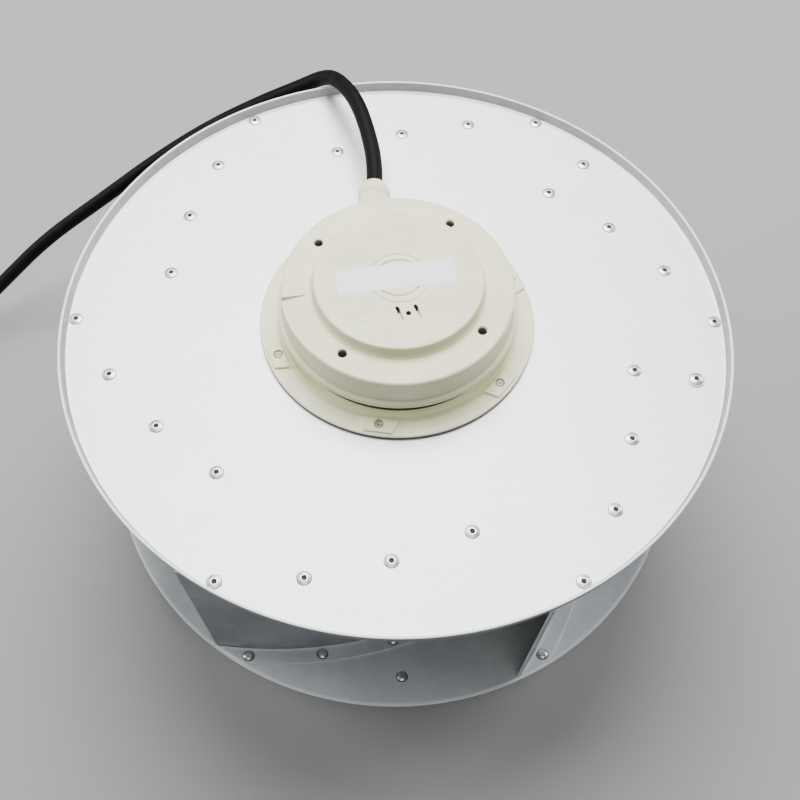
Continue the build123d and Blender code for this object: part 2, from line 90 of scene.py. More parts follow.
# Motor
BELL_RADIUS = 86.0
BELL_BORE = 78.0
BELL_LOW = PLATE_TOP - 112.0
BELL_FLOOR = 8.0
HUB_RADIUS = 18.0
HUB_TOP = PLATE_TOP - 89.0
SHAFT_BORE = 10.05
RING_RADIUS = 105.0
RING_TOP = PLATE_TOP + 4.0
LEDGE_RADIUS = 89.8
LEDGE_TOP = PLATE_TOP + 6.6
SHADE_RADIUS = 84.5
LUG_TOP = RING_TOP + 1.9
LUG_COUNT = 6
LUG_CIRCLE = 96.0
LUG_ANGLE = -96.0
FACE_Z = WHEEL_HEIGHT + 35.7
FACE_RADIUS = 86.0
DISC_TOP = FACE_Z + 9.3
DISC_RADIUS = 62.4
SKIRT_RADIUS = 90.3
SKIRT_TOP = WHEEL_HEIGHT + 15.3
SKIRT_LOW = WHEEL_HEIGHT + 10.4
SPIGOT_RADIUS = 83.0
SPIGOT_BORE = 79.5
COVER_UNDER = FACE_Z - 18.7
TUBE_RADIUS = 30.0
BEARING_BORE = 23.55
MOUNTING_HOLE = 3.4
MOUNTING_DEPTH = 15.0
MOUNTING_CHAMFER = 0.8
THREAD_PITCH = 1.25
MOUNTING_RADIUS = 72.0
MOUNTING_ANGLE = 58.7
LAMINATION = 0.65
RAMP_ANGLE = 190.0
RAMP_SPAN = 38.0
RAMP_DEPTH = 3.2
RAMP_INNER = 66.0
RAMP_OUTER = 94.0

# Cable
CABLE_DIAMETER = 13.0
GLAND_X = -22.5
GLAND_Z = FACE_Z - 12.2
BOSS_END = 93.0
GLAND_FACE = 95.0
NUT_END = 107.2
CABLE_START = 99.0
COIL_CENTRE = Vector((-474.0, -87.0))
COIL_OUTER_TURN = 82.0
COIL_PITCH = 13.0
COIL_START_ANGLE = 157.0
COIL_END_ANGLE = 286.0
TIE_ANGLE = 20.0


# Meshes

def polar(radius, angle):
    return Vector((radius * cos(radians(angle)), radius * sin(radians(angle))))


def upright_to(way):
    """The turn that brings the Z axis to a direction."""
    return Vector((0, 0, 1)).rotation_difference(way).to_matrix().to_4x4()


def put_in_scene(name, mesh):
    piece = bpy.data.objects.new(name, mesh)
    bpy.context.scene.collection.objects.link(piece)
    return piece


def mesh_piece(name, points, faces):
    """A mesh from points in millimetres, with its faces pointing outwards."""
    mesh = bpy.data.meshes.new(name)
    mesh.from_pydata([Vector(point) * MM for point in points], [], faces)
    work = bmesh.new()
    work.from_mesh(mesh)
    bmesh.ops.remove_doubles(work, verts=work.verts, dist=0.000001)
    bmesh.ops.recalc_face_normals(work, faces=work.faces)
    work.to_mesh(mesh)
    work.free()
    shade(mesh)
    return put_in_scene(name, mesh)


def shade(mesh, smooth_below=35.0):
    mesh.polygons.foreach_set("use_smooth", [True] * len(mesh.polygons))
    mesh.set_sharp_from_angle(angle=radians(smooth_below))
    mesh.update()


def settled(piece, smooth_below=35.0):
    """The piece with its modifiers made part of its mesh. With no angle its shading stays."""
    evaluated = piece.evaluated_get(bpy.context.evaluated_depsgraph_get())
    mesh = bpy.data.meshes.new_from_object(evaluated)
    piece.modifiers.clear()
    piece.data = mesh
    if smooth_below:
        shade(mesh, smooth_below)
    return piece


def flat_faces_kept(piece):
    """The piece with normals weighted by area, so that large faces shade flat."""
    modifier = piece.modifiers.new("normals", "WEIGHTED_NORMAL")
    modifier.keep_sharp = True
    return settled(piece, None)


def rounded(corners):
    """An outline from (radius, height, rounding) corners, with its corners rounded."""
    outline = []
    count = len(corners)
    for index, (x, z, rounding) in enumerate(corners):
        corner = Vector((x, z))
        if rounding == 0:
            outline.append(corner)
            continue
        before = (Vector(corners[index - 1][:2]) - corner).normalized()
        after = (Vector(corners[(index + 1) % count][:2]) - corner).normalized()
        half = before.angle(after) / 2
        centre = corner + (before + after).normalized() * rounding / sin(half)
        start = corner + before * rounding / tan(half) - centre
        end = corner + after * rounding / tan(half) - centre
        turn = start.angle_signed(end)
        steps = max(2, ceil(abs(degrees(turn)) / 15))
        for step in range(steps + 1):
            swing = -turn * step / steps
            outline.append(centre + Vector((
                start.x * cos(swing) - start.y * sin(swing),
                start.x * sin(swing) + start.y * cos(swing),
            )))
    return outline


def lathe(name, outline, steps, axis=None):
    """A closed outline of (radius, height) turned round the Z axis, or round `axis`."""
    place = axis or Matrix.Identity(4)
    count = len(outline)
    points = []
    for step in range(steps):
        turn = 2 * pi * step / steps
        points += [place @ Vector((r * cos(turn), r * sin(turn), z)) for r, z in outline]
    faces = []
    for step in range(steps):
        here = step * count
        there = (step + 1) % steps * count
        for index in range(count):
            following = (index + 1) % count
            faces.append((here + index, there + index, there + following, here + following))
    return mesh_piece(name, points, faces)


def prism(name, outline, low, high):
    """A flat outline of (x, y) points between two heights."""
    count = len(outline)
    points = [(x, y, low) for x, y in outline] + [(x, y, high) for x, y in outline]
    faces = [tuple(range(count)), tuple(range(count, 2 * count))]
    for index in range(count):
        following = (index + 1) % count
        faces.append((index, following, count + following, count + index))
    return mesh_piece(name, points, faces)


def joined(name, pieces):
    """Several mesh objects as one."""
    work = bmesh.new()
    for piece in pieces:
        work.from_mesh(piece.data)
        bpy.data.objects.remove(piece)
    mesh = bpy.data.meshes.new(name)
    work.to_mesh(mesh)
    work.free()
    shade(mesh)
    return put_in_scene(name, mesh)


def add_materials(piece, *materials):
    for material in materials:
        piece.data.materials.append(material)


def axis_distance(face):
    """A face's distance from the wheel's axis in millimetres."""
    return hypot(face.center.x, face.center.y) / MM


def cut(piece, cutter):
    """The piece with the cutter's shape taken out. Its materials are given to it later."""
    modifier = piece.modifiers.new("cut", "BOOLEAN")
    modifier.object = cutter
    modifier.operation = "DIFFERENCE"
    modifier.solver = "MANIFOLD"
    settled(piece)
    piece.data.materials.clear()
    for face in piece.data.polygons:
        face.material_index = 0
    bpy.data.objects.remove(cutter)
    return piece


def bevelled(piece, width, segments=2, angle=35.0):
    """The piece with its sharper edges bevelled, by a width in millimetres."""
    modifier = piece.modifiers.new("bevel", "BEVEL")
    modifier.width = width * MM
    modifier.segments = segments
    modifier.limit_method = "ANGLE"
    modifier.angle_limit = radians(angle)
    modifier.use_clamp_overlap = True
    return flat_faces_kept(settled(piece, 40.0))


# Nodes

class Value:
    """A node's socket that Python's operators work on."""

    def __init__(self, graph, socket):
        self.graph = graph
        self.socket = socket

    def __add__(self, other):
        return self.graph.maths("ADD", self, other)

    def __sub__(self, other):
        return self.graph.maths("SUBTRACT", self, other)

    def __mul__(self, other):
        return self.graph.maths("MULTIPLY", self, other)

    def __truediv__(self, other):
        return self.graph.maths("DIVIDE", self, other)

    def __lt__(self, other):
        return self.graph.maths("LESS_THAN", self, other)

    __radd__ = __add__
    __rmul__ = __mul__


class Graph:
    """Adds nodes to one node tree."""

    def __init__(self, tree):
        self.tree = tree

    def add(self, kind, settings=None, inputs=None, output=0):
        """A node of that type. Its settings are set first, then its sockets' values or links."""
        node = self.tree.nodes.new(kind)
        for name, value in (settings or {}).items():
            setattr(node, name, value)
        for key, value in (inputs or {}).items():
            self.feed(node.inputs[key], value)
        return Value(self, node.outputs[output]) if node.outputs else None

    def feed(self, socket, value):
        if isinstance(value, Value):
            self.tree.links.new(value.socket, socket)
        else:
            socket.default_value = value

    def maths(self, operation, first, second=0.0):
        return self.add("ShaderNodeMath", {"operation": operation}, {0: first, 1: second})

    def noise(self, place, scale, detail=2.0, roughness=0.5):
        sizes = {"Vector": place, "Scale": scale, "Detail": detail, "Roughness": roughness}
        return self.add("ShaderNodeTexNoise", None, sizes)

    def ramp(self, value, low, high):
        """0 below `low`, 1 above `high` and smooth between them."""
        settings = {"interpolation_type": "SMOOTHSTEP"}
        return self.add("ShaderNodeMapRange", settings, {"Value": value, 1: low, 2: high})

    def mix(self, factor, first, second):
        colours = {0: factor, 6: first, 7: second}
        return self.add("ShaderNodeMix", {"data_type": "RGBA"}, colours, 2)


class Finish:
    """One material: its shader, its node graph and the place on the object."""

    def __init__(self, name, metallic=0.0, roughness=0.5, coat=0.0, ior=1.45):
        self.material = bpy.data.materials.new(name)
        self.material.use_nodes = True
        tree = self.material.node_tree
        self.shader = tree.nodes["Principled BSDF"]
        self.shader.inputs["Metallic"].default_value = metallic
        self.shader.inputs["Roughness"].default_value = roughness
        self.shader.inputs["Coat Weight"].default_value = coat
        self.shader.inputs["IOR"].default_value = ior
        self.graph = Graph(tree)
        self.place = self.graph.add("ShaderNodeTexCoord", output="Object")

    def colour(self, value):
        self.graph.feed(self.shader.inputs["Base Color"], value)

    def roughness(self, value):
        self.graph.feed(self.shader.inputs["Roughness"], value)

    def relief(self, height, strength, distance):
        sizes = {"Height": height, "Strength": strength, "Distance": distance * MM}
        bump = self.graph.add("ShaderNodeBump", None, sizes)
        self.graph.feed(self.shader.inputs["Normal"], bump)

    def height(self):
        """The height above the floor in millimetres."""
        return self.graph.add("ShaderNodeSeparateXYZ", None, {0: self.place}, "Z") * (1 / MM)


def rgb(red, green, blue):
    return (red, green, blue, 1.0)


# Materials

def zinc_sheet(name, dark, light, metallic=0.55):
    """Matt zinc-coated sheet with a faint mottle and a fine grain."""
    finish = Finish(name, metallic=metallic, roughness=0.45)
    graph = finish.graph
    cloud = graph.noise(finish.place, 22.0, 4.0, 0.55)
    grain = graph.noise(finish.place, 900.0, 3.0, 0.6)
    spots = graph.noise(finish.place, 130.0, 2.0, 0.5)
    tone = graph.ramp(cloud * 0.6 + spots * 0.25 + grain * 0.15, 0.35, 0.65)
    finish.colour(graph.mix(tone, dark, light))
    finish.roughness(0.36 + 0.16 * cloud + 0.06 * grain)
    finish.relief(grain * 0.6 + spots * 0.4, 0.08, 0.05)
    return finish.material


def grained(name, dark, light, scale, roughness, detail=3.0, spread=0.0, relief=None, **shader):
    """A finish of one grain, which its tone, its roughness and its relief may follow."""
    finish = Finish(name, roughness=roughness, **shader)
    grain = finish.graph.noise(finish.place, scale, detail)
    finish.colour(finish.graph.mix(grain, dark, light))
    if spread:
        finish.roughness(roughness + spread * grain)
    if relief:
        finish.relief(grain, *relief)
    return finish.material


def metal(name, dark, light, roughness, scale=400.0):
    """Machined or rolled metal."""
    return grained(name, dark, light, scale, roughness - 0.06,
                   spread=0.14, relief=(0.15, 0.05), metallic=0.9)


def plastic(name, dark, light, roughness=0.4):
    """Moulded plastic or rubber."""
    return grained(name, dark, light, 700.0, roughness - 0.05,
                   detail=2.0, spread=0.1, relief=(0.15, 0.05))


def cream_paint(name="cream_paint", tint=1.0):
    """Cream paint on a casting, a little uneven, with a few dull specks."""
    finish = Finish(name, roughness=0.42, coat=0.12)
    graph = finish.graph
    cloud = graph.noise(finish.place, 30.0, 3.0, 0.5)
    peel = graph.noise(finish.place, 420.0, 2.0, 0.45)
    specks = graph.ramp(graph.noise(finish.place, 700.0, 2.0, 0.7), 0.70, 0.78)
    dark = rgb(0.84 * tint, 0.82 * tint, 0.54 * tint)
    light = rgb(0.93 * tint, 0.91 * tint, 0.62 * tint)
    paint = graph.mix(graph.ramp(cloud, 0.35, 0.65), dark, light)
    finish.colour(graph.mix(specks * 0.35, paint, rgb(0.45, 0.43, 0.36)))
    finish.roughness(0.36 + 0.14 * cloud + 0.05 * peel)
    finish.relief(peel * 0.8 + cloud * 0.2, 0.22, 0.12)
    return finish.material


def thread_painted_shade():
    """A thread's turns in painted shade, as in the dark of a hole, with painted light towards the
    hole's mouth.
    """
    finish = Finish("thread_painted_shade", metallic=0.2, roughness=0.55)
    height = finish.height()
    wave = finish.graph.maths("SINE", height * (2 * pi / THREAD_PITCH))
    thread = finish.graph.mix(wave * 0.5 + 0.5, rgb(0.05, 0.045, 0.035), rgb(0.24, 0.22, 0.18))
    mouth = finish.graph.ramp(height, FACE_Z - 5.0, FACE_Z - 0.5)
    mouth = mouth * (height < FACE_Z + 0.2)
    finish.colour(finish.graph.mix(mouth, thread, rgb(0.62, 0.61, 0.52)))
    finish.relief(wave, 0.8, 0.4)
    return finish.material


def black_jacket():
    """The cable's black jacket, with a fine grain and a few paler rubs."""
    finish = Finish("black_jacket", roughness=0.5, ior=1.22)
    graph = finish.graph
    cloud = graph.noise(finish.place, 45.0, 4.0, 0.6)
    grain = graph.noise(finish.place, 900.0, 3.0)
    rubs = graph.ramp(cloud, 0.52, 0.75)
    finish.colour(graph.mix(rubs, rgb(0.003, 0.003, 0.0035), rgb(0.010, 0.010, 0.011)))
    finish.roughness(0.46 + 0.2 * cloud + 0.08 * grain)
    finish.relief(grain * 0.7 + cloud * 0.3, 0.25, 0.1)
    return finish.material


def laminations():
    """Stacked electrical sheet with dark joints between its layers."""
    finish = Finish("laminations", metallic=0.7, roughness=0.5)
    height = finish.height()
    wave = finish.graph.maths("SINE", height * (2 * pi / LAMINATION))
    sheets = finish.graph.mix(wave * 0.5 + 0.5, rgb(0.05, 0.05, 0.055), rgb(0.20, 0.20, 0.21))
    finish.colour(sheets)
    finish.relief(wave, 0.4, 0.15)
    return finish.material


def enamelled_copper():
    finish = Finish("enamelled_copper", metallic=0.85, roughness=0.32)
    graph = finish.graph
    drawn_out = {"Vector": finish.place, "Scale": (1.0, 1.0, 6.0)}
    strands = graph.noise(graph.add("ShaderNodeMapping", None, drawn_out), 500.0, 3.0)
    finish.colour(graph.mix(strands, rgb(0.30, 0.09, 0.03), rgb(0.62, 0.24, 0.10)))
    finish.relief(strands, 0.6, 0.3)
    return finish.material


ZINC = zinc_sheet("zinc_sheet", rgb(0.78, 0.80, 0.81), rgb(0.87, 0.89, 0.90))
# A paler, less metallic copy of the zinc: painted highlight on the sheets' edges and rims.
ZINC_HIGHLIGHT = zinc_sheet("zinc_painted_highlight", rgb(0.86, 0.87, 0.88), rgb(0.94, 0.95, 0.96), 0.15)
ZINC_SHROUD = zinc_sheet("zinc_shroud", rgb(0.70, 0.74, 0.76), rgb(0.80, 0.84, 0.85), 0.3)
# A darker copy of the zinc for the blades' webs: painted shade.
ZINC_BLADE_SHADE = zinc_sheet("zinc_blade_painted_shade", rgb(0.28, 0.31, 0.33), rgb(0.38, 0.41, 0.43), 0.75)
# A dark copy of the zinc: painted shade on the lip's outer wall and the plate's underside.
ZINC_OUTER_SHADE = zinc_sheet("zinc_outer_painted_shade", rgb(0.24, 0.26, 0.27), rgb(0.33, 0.35, 0.36), 0.7)
# A darker copy of the zinc: painted shade on the lip's inner wall.
ZINC_WALL_SHADE = zinc_sheet("zinc_wall_painted_shade", rgb(0.36, 0.38, 0.39), rgb(0.46, 0.48, 0.49), 0.6)
RIVET = grained("rivet_metal", rgb(0.66, 0.67, 0.68), rgb(0.84, 0.85, 0.86), 800.0, 0.25,
                spread=0.22, metallic=0.85)
# A dark copy of the rivet metal: painted shadow round the heads and painted shade in their wells.
RIVET_SHADE = grained("rivet_painted_shade", rgb(0.015, 0.015, 0.017), rgb(0.06, 0.06, 0.065), 1500.0, 0.6,
                     metallic=0.6)
CREAM = cream_paint()
# A darker copy of the cream paint: painted shade on the flange's side walls.
CREAM_SIDE_SHADE = cream_paint("cream_side_painted_shade", 0.76)
CREAM_PLASTIC = cream_paint("cream_plastic", 1.02)
THREAD_SHADE = thread_painted_shade()
# Dark edge material: painted shade on the rotor ring's outer side and on the ledge under the
# stator's lip.
SHADED_EDGE = metal("edge_painted_shade", rgb(0.05, 0.058, 0.054), rgb(0.12, 0.13, 0.122), 0.55)
PAPER = grained("sticker_paper", rgb(0.86, 0.87, 0.88), rgb(0.93, 0.93, 0.94), 500.0, 0.35,
                relief=(0.1, 0.03), coat=0.25)
FLOOR = grained("studio_floor", rgb(0.33, 0.33, 0.335), rgb(0.36, 0.36, 0.365), 3.0, 0.8)
JACKET = black_jacket()
LAMINATIONS = laminations()
GROUND_STEEL = metal("ground_steel", rgb(0.45, 0.45, 0.47), rgb(0.66, 0.66, 0.68), 0.28)
SCREW_STEEL = metal("screw_steel", rgb(0.22, 0.23, 0.22), rgb(0.42, 0.43, 0.42), 0.4)
BLACK_STEEL = metal("black_steel", rgb(0.02, 0.02, 0.022), rgb(0.07, 0.07, 0.075), 0.42)
TIN = metal("tinned_sleeve", rgb(0.55, 0.55, 0.55), rgb(0.78, 0.78, 0.77), 0.3, 900.0)
COPPER = enamelled_copper()
RUBBER = plastic("seal_rubber", rgb(0.012, 0.012, 0.012), rgb(0.03, 0.03, 0.03), 0.6)
TIE_NYLON = plastic("tie_nylon", rgb(0.01, 0.01, 0.01), rgb(0.025, 0.025, 0.025), 0.35)
CORE_COLOURS = (
    plastic("core_brown", rgb(0.10, 0.04, 0.02), rgb(0.14, 0.06, 0.03)),
    plastic("core_blue", rgb(0.02, 0.10, 0.35), rgb(0.03, 0.14, 0.42)),
    plastic("core_black", rgb(0.012, 0.012, 0.012), rgb(0.03, 0.03, 0.03)),
    plastic("core_yellow_green", rgb(0.30, 0.38, 0.02), rgb(0.42, 0.46, 0.03)),
)


# Camera at the photograph's place: lens, height and roll are fitted to the wheel's rims.

camera_data = bpy.data.cameras.new("camera")
camera_data.sensor_width = 36.0
camera_data.lens = 47.12
camera = put_in_scene("camera", camera_data)
CAMERA_ELEVATION = radians(58.785)
CAMERA_ROLL = radians(2.259)
right = Vector((1, 0, 0))
up = Vector((0, sin(CAMERA_ELEVATION), cos(CAMERA_ELEVATION)))
back = Vector((0, -cos(CAMERA_ELEVATION), sin(CAMERA_ELEVATION)))
turned_right = right * cos(CAMERA_ROLL) + up * sin(CAMERA_ROLL)
turned_up = up * cos(CAMERA_ROLL) - right * sin(CAMERA_ROLL)
facing = Matrix((turned_right, turned_up, back)).transposed().to_4x4()
camera.matrix_world = Matrix.Translation((0.00445, -0.47025, 0.89658)) @ facing
bpy.context.scene.camera = camera


# The cable: out of the gland, over the wheel's lip, down beside the wheel to the
# floor, and into a tied coil whose end lies on top of the turns.

ROUTE = [
    (GLAND_X, CABLE_START, GLAND_Z),
    (GLAND_X, 128, GLAND_Z),
    (-30.8, 165.2, 274),
    (-42.5, 201.6, 273.4),
    (-59.5, 232.2, 266.4),
    (-73.3, 252.9, 251),
    (-97.4, 261.1, 230),
    (-137.2, 262.9, 206.7),
    (-188, 258.3, 177.6),
    (-243.8, 245.6, 142.6),
    (-300.4, 225.1, 106.1),
    (-356.3, 199.9, 75.3),
    (-402, 164.8, 45.1),
    (-443.4, 124.6, 23.2),
    (-480, 82, 11),
    (-509.3, 37.7, 6.5),
    (-530, -10, 6.5),
]
COIL_STEP = 30.0
COIL_STEPS = 25
TIE_LIFT = 1.3
TIE_REACH = 30.0
# Where the cable climbs from the inner turn and lies on the groove between the others.
CLIMB = [(196, 55.5, 8), (207, 59, 14), (218, 65, 19.5), (230, 71, 19.2), (245, 72.6, 17.8)]
TOP_RADIUS = 70.8
TOP_HEIGHT = 17.8


def on_coil(angle, radius, height):
    place = COIL_CENTRE + polar(radius, angle)
    return (place.x, place.y, height)


def coil_points():
    """The control points of the coil's flat turns, its climb and its end."""
    points = []
    half_step = COIL_STEP / 2
    for step in range(COIL_STEPS):
        swept = half_step + COIL_STEP * step
        angle = COIL_START_ANGLE + swept
        radius = (COIL_OUTER_TURN - COIL_PITCH * swept / 360) / cos(radians(half_step))
        from_tie = abs((angle - TIE_ANGLE + 180) % 360 - 180)
        lift = TIE_LIFT * max(0.0, 1 - from_tie / TIE_REACH)
        points.append(on_coil(angle, radius, CABLE_DIAMETER / 2 + lift))
    points += [on_coil(*place) for place in CLIMB]
    points += [on_coil(angle, TOP_RADIUS * 1.01, TOP_HEIGHT) for angle in (260, 275)]
    points.append(on_coil(COIL_END_ANGLE, TOP_RADIUS, TOP_HEIGHT))
    return points


def nurbs_piece(name, points, radius, material, resolution=8):
    """A round bar along a smooth line that has `points` as its control points."""
    curve = bpy.data.curves.new(name, "CURVE")
    curve.dimensions = "3D"
    curve.bevel_depth = radius * MM
    curve.bevel_resolution = 6
    curve.use_fill_caps = True
    spline = curve.splines.new("NURBS")
    spline.points.add(len(points) - 1)
    for place, point in zip(points, spline.points):
        point.co = (*(Vector(place) * MM), 1.0)
    spline.order_u = 3
    spline.use_endpoint_u = True
    spline.resolution_u = resolution
    spline.use_smooth = True
    curve.materials.append(material)
    return put_in_scene(name, curve)


cable = nurbs_piece("cable_with_coil", ROUTE + coil_points(), CABLE_DIAMETER / 2, JACKET)


# Wheel sheets

def throat_height():
    """The height of the throat arc's centre."""
    centre_radius = INLET_RADIUS + THROAT_BEND
    on_line = SHROUD_EDGE - (SHROUD_RADIUS - centre_radius) * SHROUD_SLOPE
    return on_line - THROAT_BEND * sqrt(1 + SHROUD_SLOPE ** 2)


THROAT_HEIGHT = throat_height()
THROAT_TANGENT = INLET_RADIUS + THROAT_BEND * (1 - sin(atan2(SHROUD_SLOPE, 1)))


def air_side(radius):
    """The height of the shroud's air side at a wheel radius."""
    if radius >= THROAT_TANGENT:
        return SHROUD_EDGE - (SHROUD_RADIUS - radius) * SHROUD_SLOPE
    across = INLET_RADIUS + THROAT_BEND - radius
    return THROAT_HEIGHT + sqrt(THROAT_BEND ** 2 - across ** 2)


def make_back_plate():
    inner = WHEEL_RADIUS - SHEET
    outline = rounded([
        (PLATE_BORE, PLATE_UNDER, 0),
        (WHEEL_RADIUS - LIP_LEAN, PLATE_UNDER, 3.2),
        (WHEEL_RADIUS, WHEEL_HEIGHT, 0.7),
        (inner, WHEEL_HEIGHT, 0.7),
        (inner - LIP_LEAN, PLATE_TOP, 1.6),
        (PLATE_BORE, PLATE_TOP, 0),
    ])
    return lathe("back_plate_sheet", outline, 288)


def make_shroud():
    corner = SHROUD_EDGE - (SHROUD_RADIUS - INLET_RADIUS) * SHROUD_SLOPE
    outer = INLET_RADIUS + SHEET
    drop = SHEET * sqrt(1 + SHROUD_SLOPE ** 2)
    under_edge = SHROUD_EDGE - drop
    under_corner = SHROUD_EDGE - (SHROUD_RADIUS - outer) * SHROUD_SLOPE - drop
    outline = rounded([
        (SHROUD_RADIUS, SHROUD_EDGE, 0.6),
        (SHROUD_RADIUS - HIGHLIGHT_BAND, SHROUD_EDGE - HIGHLIGHT_BAND * SHROUD_SLOPE, 0),
        (INLET_RADIUS, corner, THROAT_BEND),
        (INLET_RADIUS, 0, 0.6),
        (outer, 0, 0.6),
        (outer, under_corner, THROAT_BEND - SHEET),
        (SHROUD_RADIUS, under_edge, 0.6),
    ])
    return lathe("shroud_sheet", outline, 288)


# Blade arc

tip = polar(BLADE_TIP_RADIUS, BLADE_TIP_ANGLE)
root = polar(BLADE_ROOT_RADIUS, BLADE_TIP_ANGLE + BLADE_WRAP)
chord = root - tip
square_on = Vector((-chord.y, chord.x)).normalized()
ARC_CENTRE = (tip + root) / 2 + square_on * sqrt(BLADE_CURVE ** 2 - (chord.length / 2) ** 2)
CENTRE_DISTANCE = ARC_CENTRE.length
CENTRE_ANGLE = atan2(ARC_CENTRE.y, ARC_CENTRE.x)
START_ANGLE = atan2(tip.y - ARC_CENTRE.y, tip.x - ARC_CENTRE.x)
END_ANGLE = START_ANGLE + 2 * asin(chord.length / 2 / BLADE_CURVE)
LEAN_PER_MM = BLADE_LEAN / (PLATE_UNDER - SHROUD_EDGE)


def arc_point(reach, turn):
    """A point at a distance and a turn from the centre of the blade's arc."""
    return ARC_CENTRE + Vector((reach * cos(turn), reach * sin(turn)))


def turn_at(reach, wheel_radius):
    """The turn at which a circle round the arc's centre meets a circle of the wheel."""
    bend = wheel_radius ** 2 - CENTRE_DISTANCE ** 2 - reach ** 2
    return CENTRE_ANGLE + acos(bend / (2 * CENTRE_DISTANCE * reach))


def web_reach(height):
    return BLADE_CURVE - LEAN_PER_MM * (PLATE_UNDER - height)


def blade_column(turn_share):
    """The middle of the sheet from the foot flange's edge up to the top flange's edge."""
    half = BLADE_SHEET / 2
    top = PLATE_UNDER - half - PLATE_GAP
    foot = web_reach(SHROUD_EDGE)
    bend = BLADE_BEND

    def spot_at(reach, wheel_radius):
        start = turn_at(reach, wheel_radius)
        return arc_point(reach, start + (END_ANGLE - start) * turn_share)

    points = []
    # The foot flange and its bend, which follow the shroud
    foot_line = [(out, 0.0) for out in (FOOT_WIDTH, 11.0, 7.5, 5.0, bend)]
    for swing in (0.5 * pi / 2, 0.85 * pi / 2):
        foot_line.append((bend * (1 - sin(swing)), bend * (1 - cos(swing))))
    for out, rise in foot_line:
        spot = spot_at(foot + out, BLADE_FOOT_RADIUS)
        points.append((*spot, air_side(spot.length) + half + FOOT_GAP + rise))
    # The web, which leans and grows wider towards the back plate
    web_low = air_side(BLADE_FOOT_RADIUS) + bend
    for share in (0.0, 0.15, 0.3, 0.45, 0.6, 0.75, 0.9, 1.0):
        reach = web_reach(web_low + (top - bend - web_low) * share)
        wheel_radius = BLADE_FOOT_RADIUS + (BLADE_TIP_RADIUS - BLADE_FOOT_RADIUS) * share
        spot = spot_at(reach, wheel_radius)
        low = air_side(spot.length) + half + bend
        points.append((*spot, low + (top - bend - low) * share))
    # The top bend and flange, which lie under the back plate
    top_line = []
    for swing in (0.35 * pi / 2, 0.7 * pi / 2, pi / 2):
        top_line.append((bend * (1 - cos(swing)), top - bend * (1 - sin(swing))))
    top_line += [(out, top) for out in (5.5, 8.0, 12.5, FLANGE_WIDTH)]
    for out, height in top_line:
        points.append((*spot_at(BLADE_CURVE + out, BLADE_TIP_RADIUS), height))
    return points


def one_blade():
    """One blade as bevelled sheet, with painted highlight on its cut edges and painted light on
    its foot.
    """
    columns = 40
    rows = [blade_column(index / columns) for index in range(columns + 1)]
    count = len(rows[0])
    points = [point for row in rows for point in row]
    faces = []
    for here in range(columns):
        for index in range(count - 1):
            corner = here * count + index
            faces.append((corner, corner + 1, corner + count + 1, corner + count))
    mesh = bpy.data.meshes.new("blade_form")
    mesh.from_pydata([Vector(point) * MM for point in points], [], faces)
    blade = put_in_scene("blade_form", mesh)
    add_materials(blade, ZINC_BLADE_SHADE, ZINC_HIGHLIGHT)
    wall = blade.modifiers.new("sheet", "SOLIDIFY")
    wall.material_offset_rim = 1
    wall.thickness = BLADE_SHEET * MM
    wall.offset = 0.0
    wall.use_even_offset = True
    settled(blade)
    bevelled(blade, 0.25, 1, 60.0)
    add_materials(blade, ZINC_SHROUD)
    # The foot's upward faces take the paler shroud zinc: painted light.
    for face in blade.data.polygons:
        on_foot = face.normal.z > 0.7 and face.center.z < 0.5 * PLATE_UNDER * MM
        if on_foot and face.material_index == 0:
            face.material_index = 2
    return blade


# Geometry node trees

def new_tree(name, sizes):
    """A geometry node tree with named inputs. `sizes` gives each input's kind."""
    tree = bpy.data.node_groups.new(name, "GeometryNodeTree")
    tree.interface.new_socket("Geometry", in_out="INPUT", socket_type="NodeSocketGeometry")
    for label, kind in sizes.items():
        tree.interface.new_socket(label, in_out="INPUT", socket_type=kind)
    tree.interface.new_socket("Geometry", in_out="OUTPUT", socket_type="NodeSocketGeometry")
    graph = Graph(tree)
    entry = graph.add("NodeGroupInput").socket.node
    return graph, {socket.name: Value(graph, socket) for socket in entry.outputs if socket.name}


def close_tree(graph, shape, material):
    """Ends a tree: its copies are made real, and faces of the form's first slot get `material`."""
    real = graph.add("GeometryNodeRealizeInstances", None, {0: shape})
    first_slot = graph.add("GeometryNodeInputMaterialIndex") < 0.5
    wiring = {"Geometry": real, "Selection": first_slot, "Material": material}
    graph.add("NodeGroupOutput", None, {0: graph.add("GeometryNodeSetMaterial", None, wiring)})
    return graph.tree


def grown(name, tree, values):
    """A plain mesh piece that a geometry node tree makes from its input values."""
    piece = put_in_scene(name, bpy.data.meshes.new(name))
    modifier = piece.modifiers.new("tree", "NODES")
    modifier.node_group = tree
    for item in tree.interface.items_tree:
        if item.in_out == "INPUT" and item.name in values:
            modifier[item.identifier] = values[item.name]
    return settled(piece, None)


def ring_tree():
    """Copies of one object, evenly round the Z axis."""
    sizes = {"Form": "NodeSocketObject", "Material": "NodeSocketMaterial"}
    sizes.update({"Count": "NodeSocketInt", "First angle": "NodeSocketFloat"})
    graph, inputs = new_tree("ring_of_copies", sizes)
    form = graph.add("GeometryNodeObjectInfo", None, {"Object": inputs["Form"]}, "Geometry")
    line = {"Count": inputs["Count"], "Offset": (0, 0, 0)}
    spots = graph.add("GeometryNodeMeshLine", None, line)
    index = graph.add("GeometryNodeInputIndex")
    turn = inputs["First angle"] + index * (2 * pi) / inputs["Count"]
    twist = graph.add("ShaderNodeCombineXYZ", None, {2: turn})
    facing = graph.add("FunctionNodeEulerToRotation", None, {0: twist})
    wiring = {"Points": spots, "Instance": form, "Rotation": facing}
    copies = graph.add("GeometryNodeInstanceOnPoints", None, wiring)
    return close_tree(graph, copies, inputs["Material"])


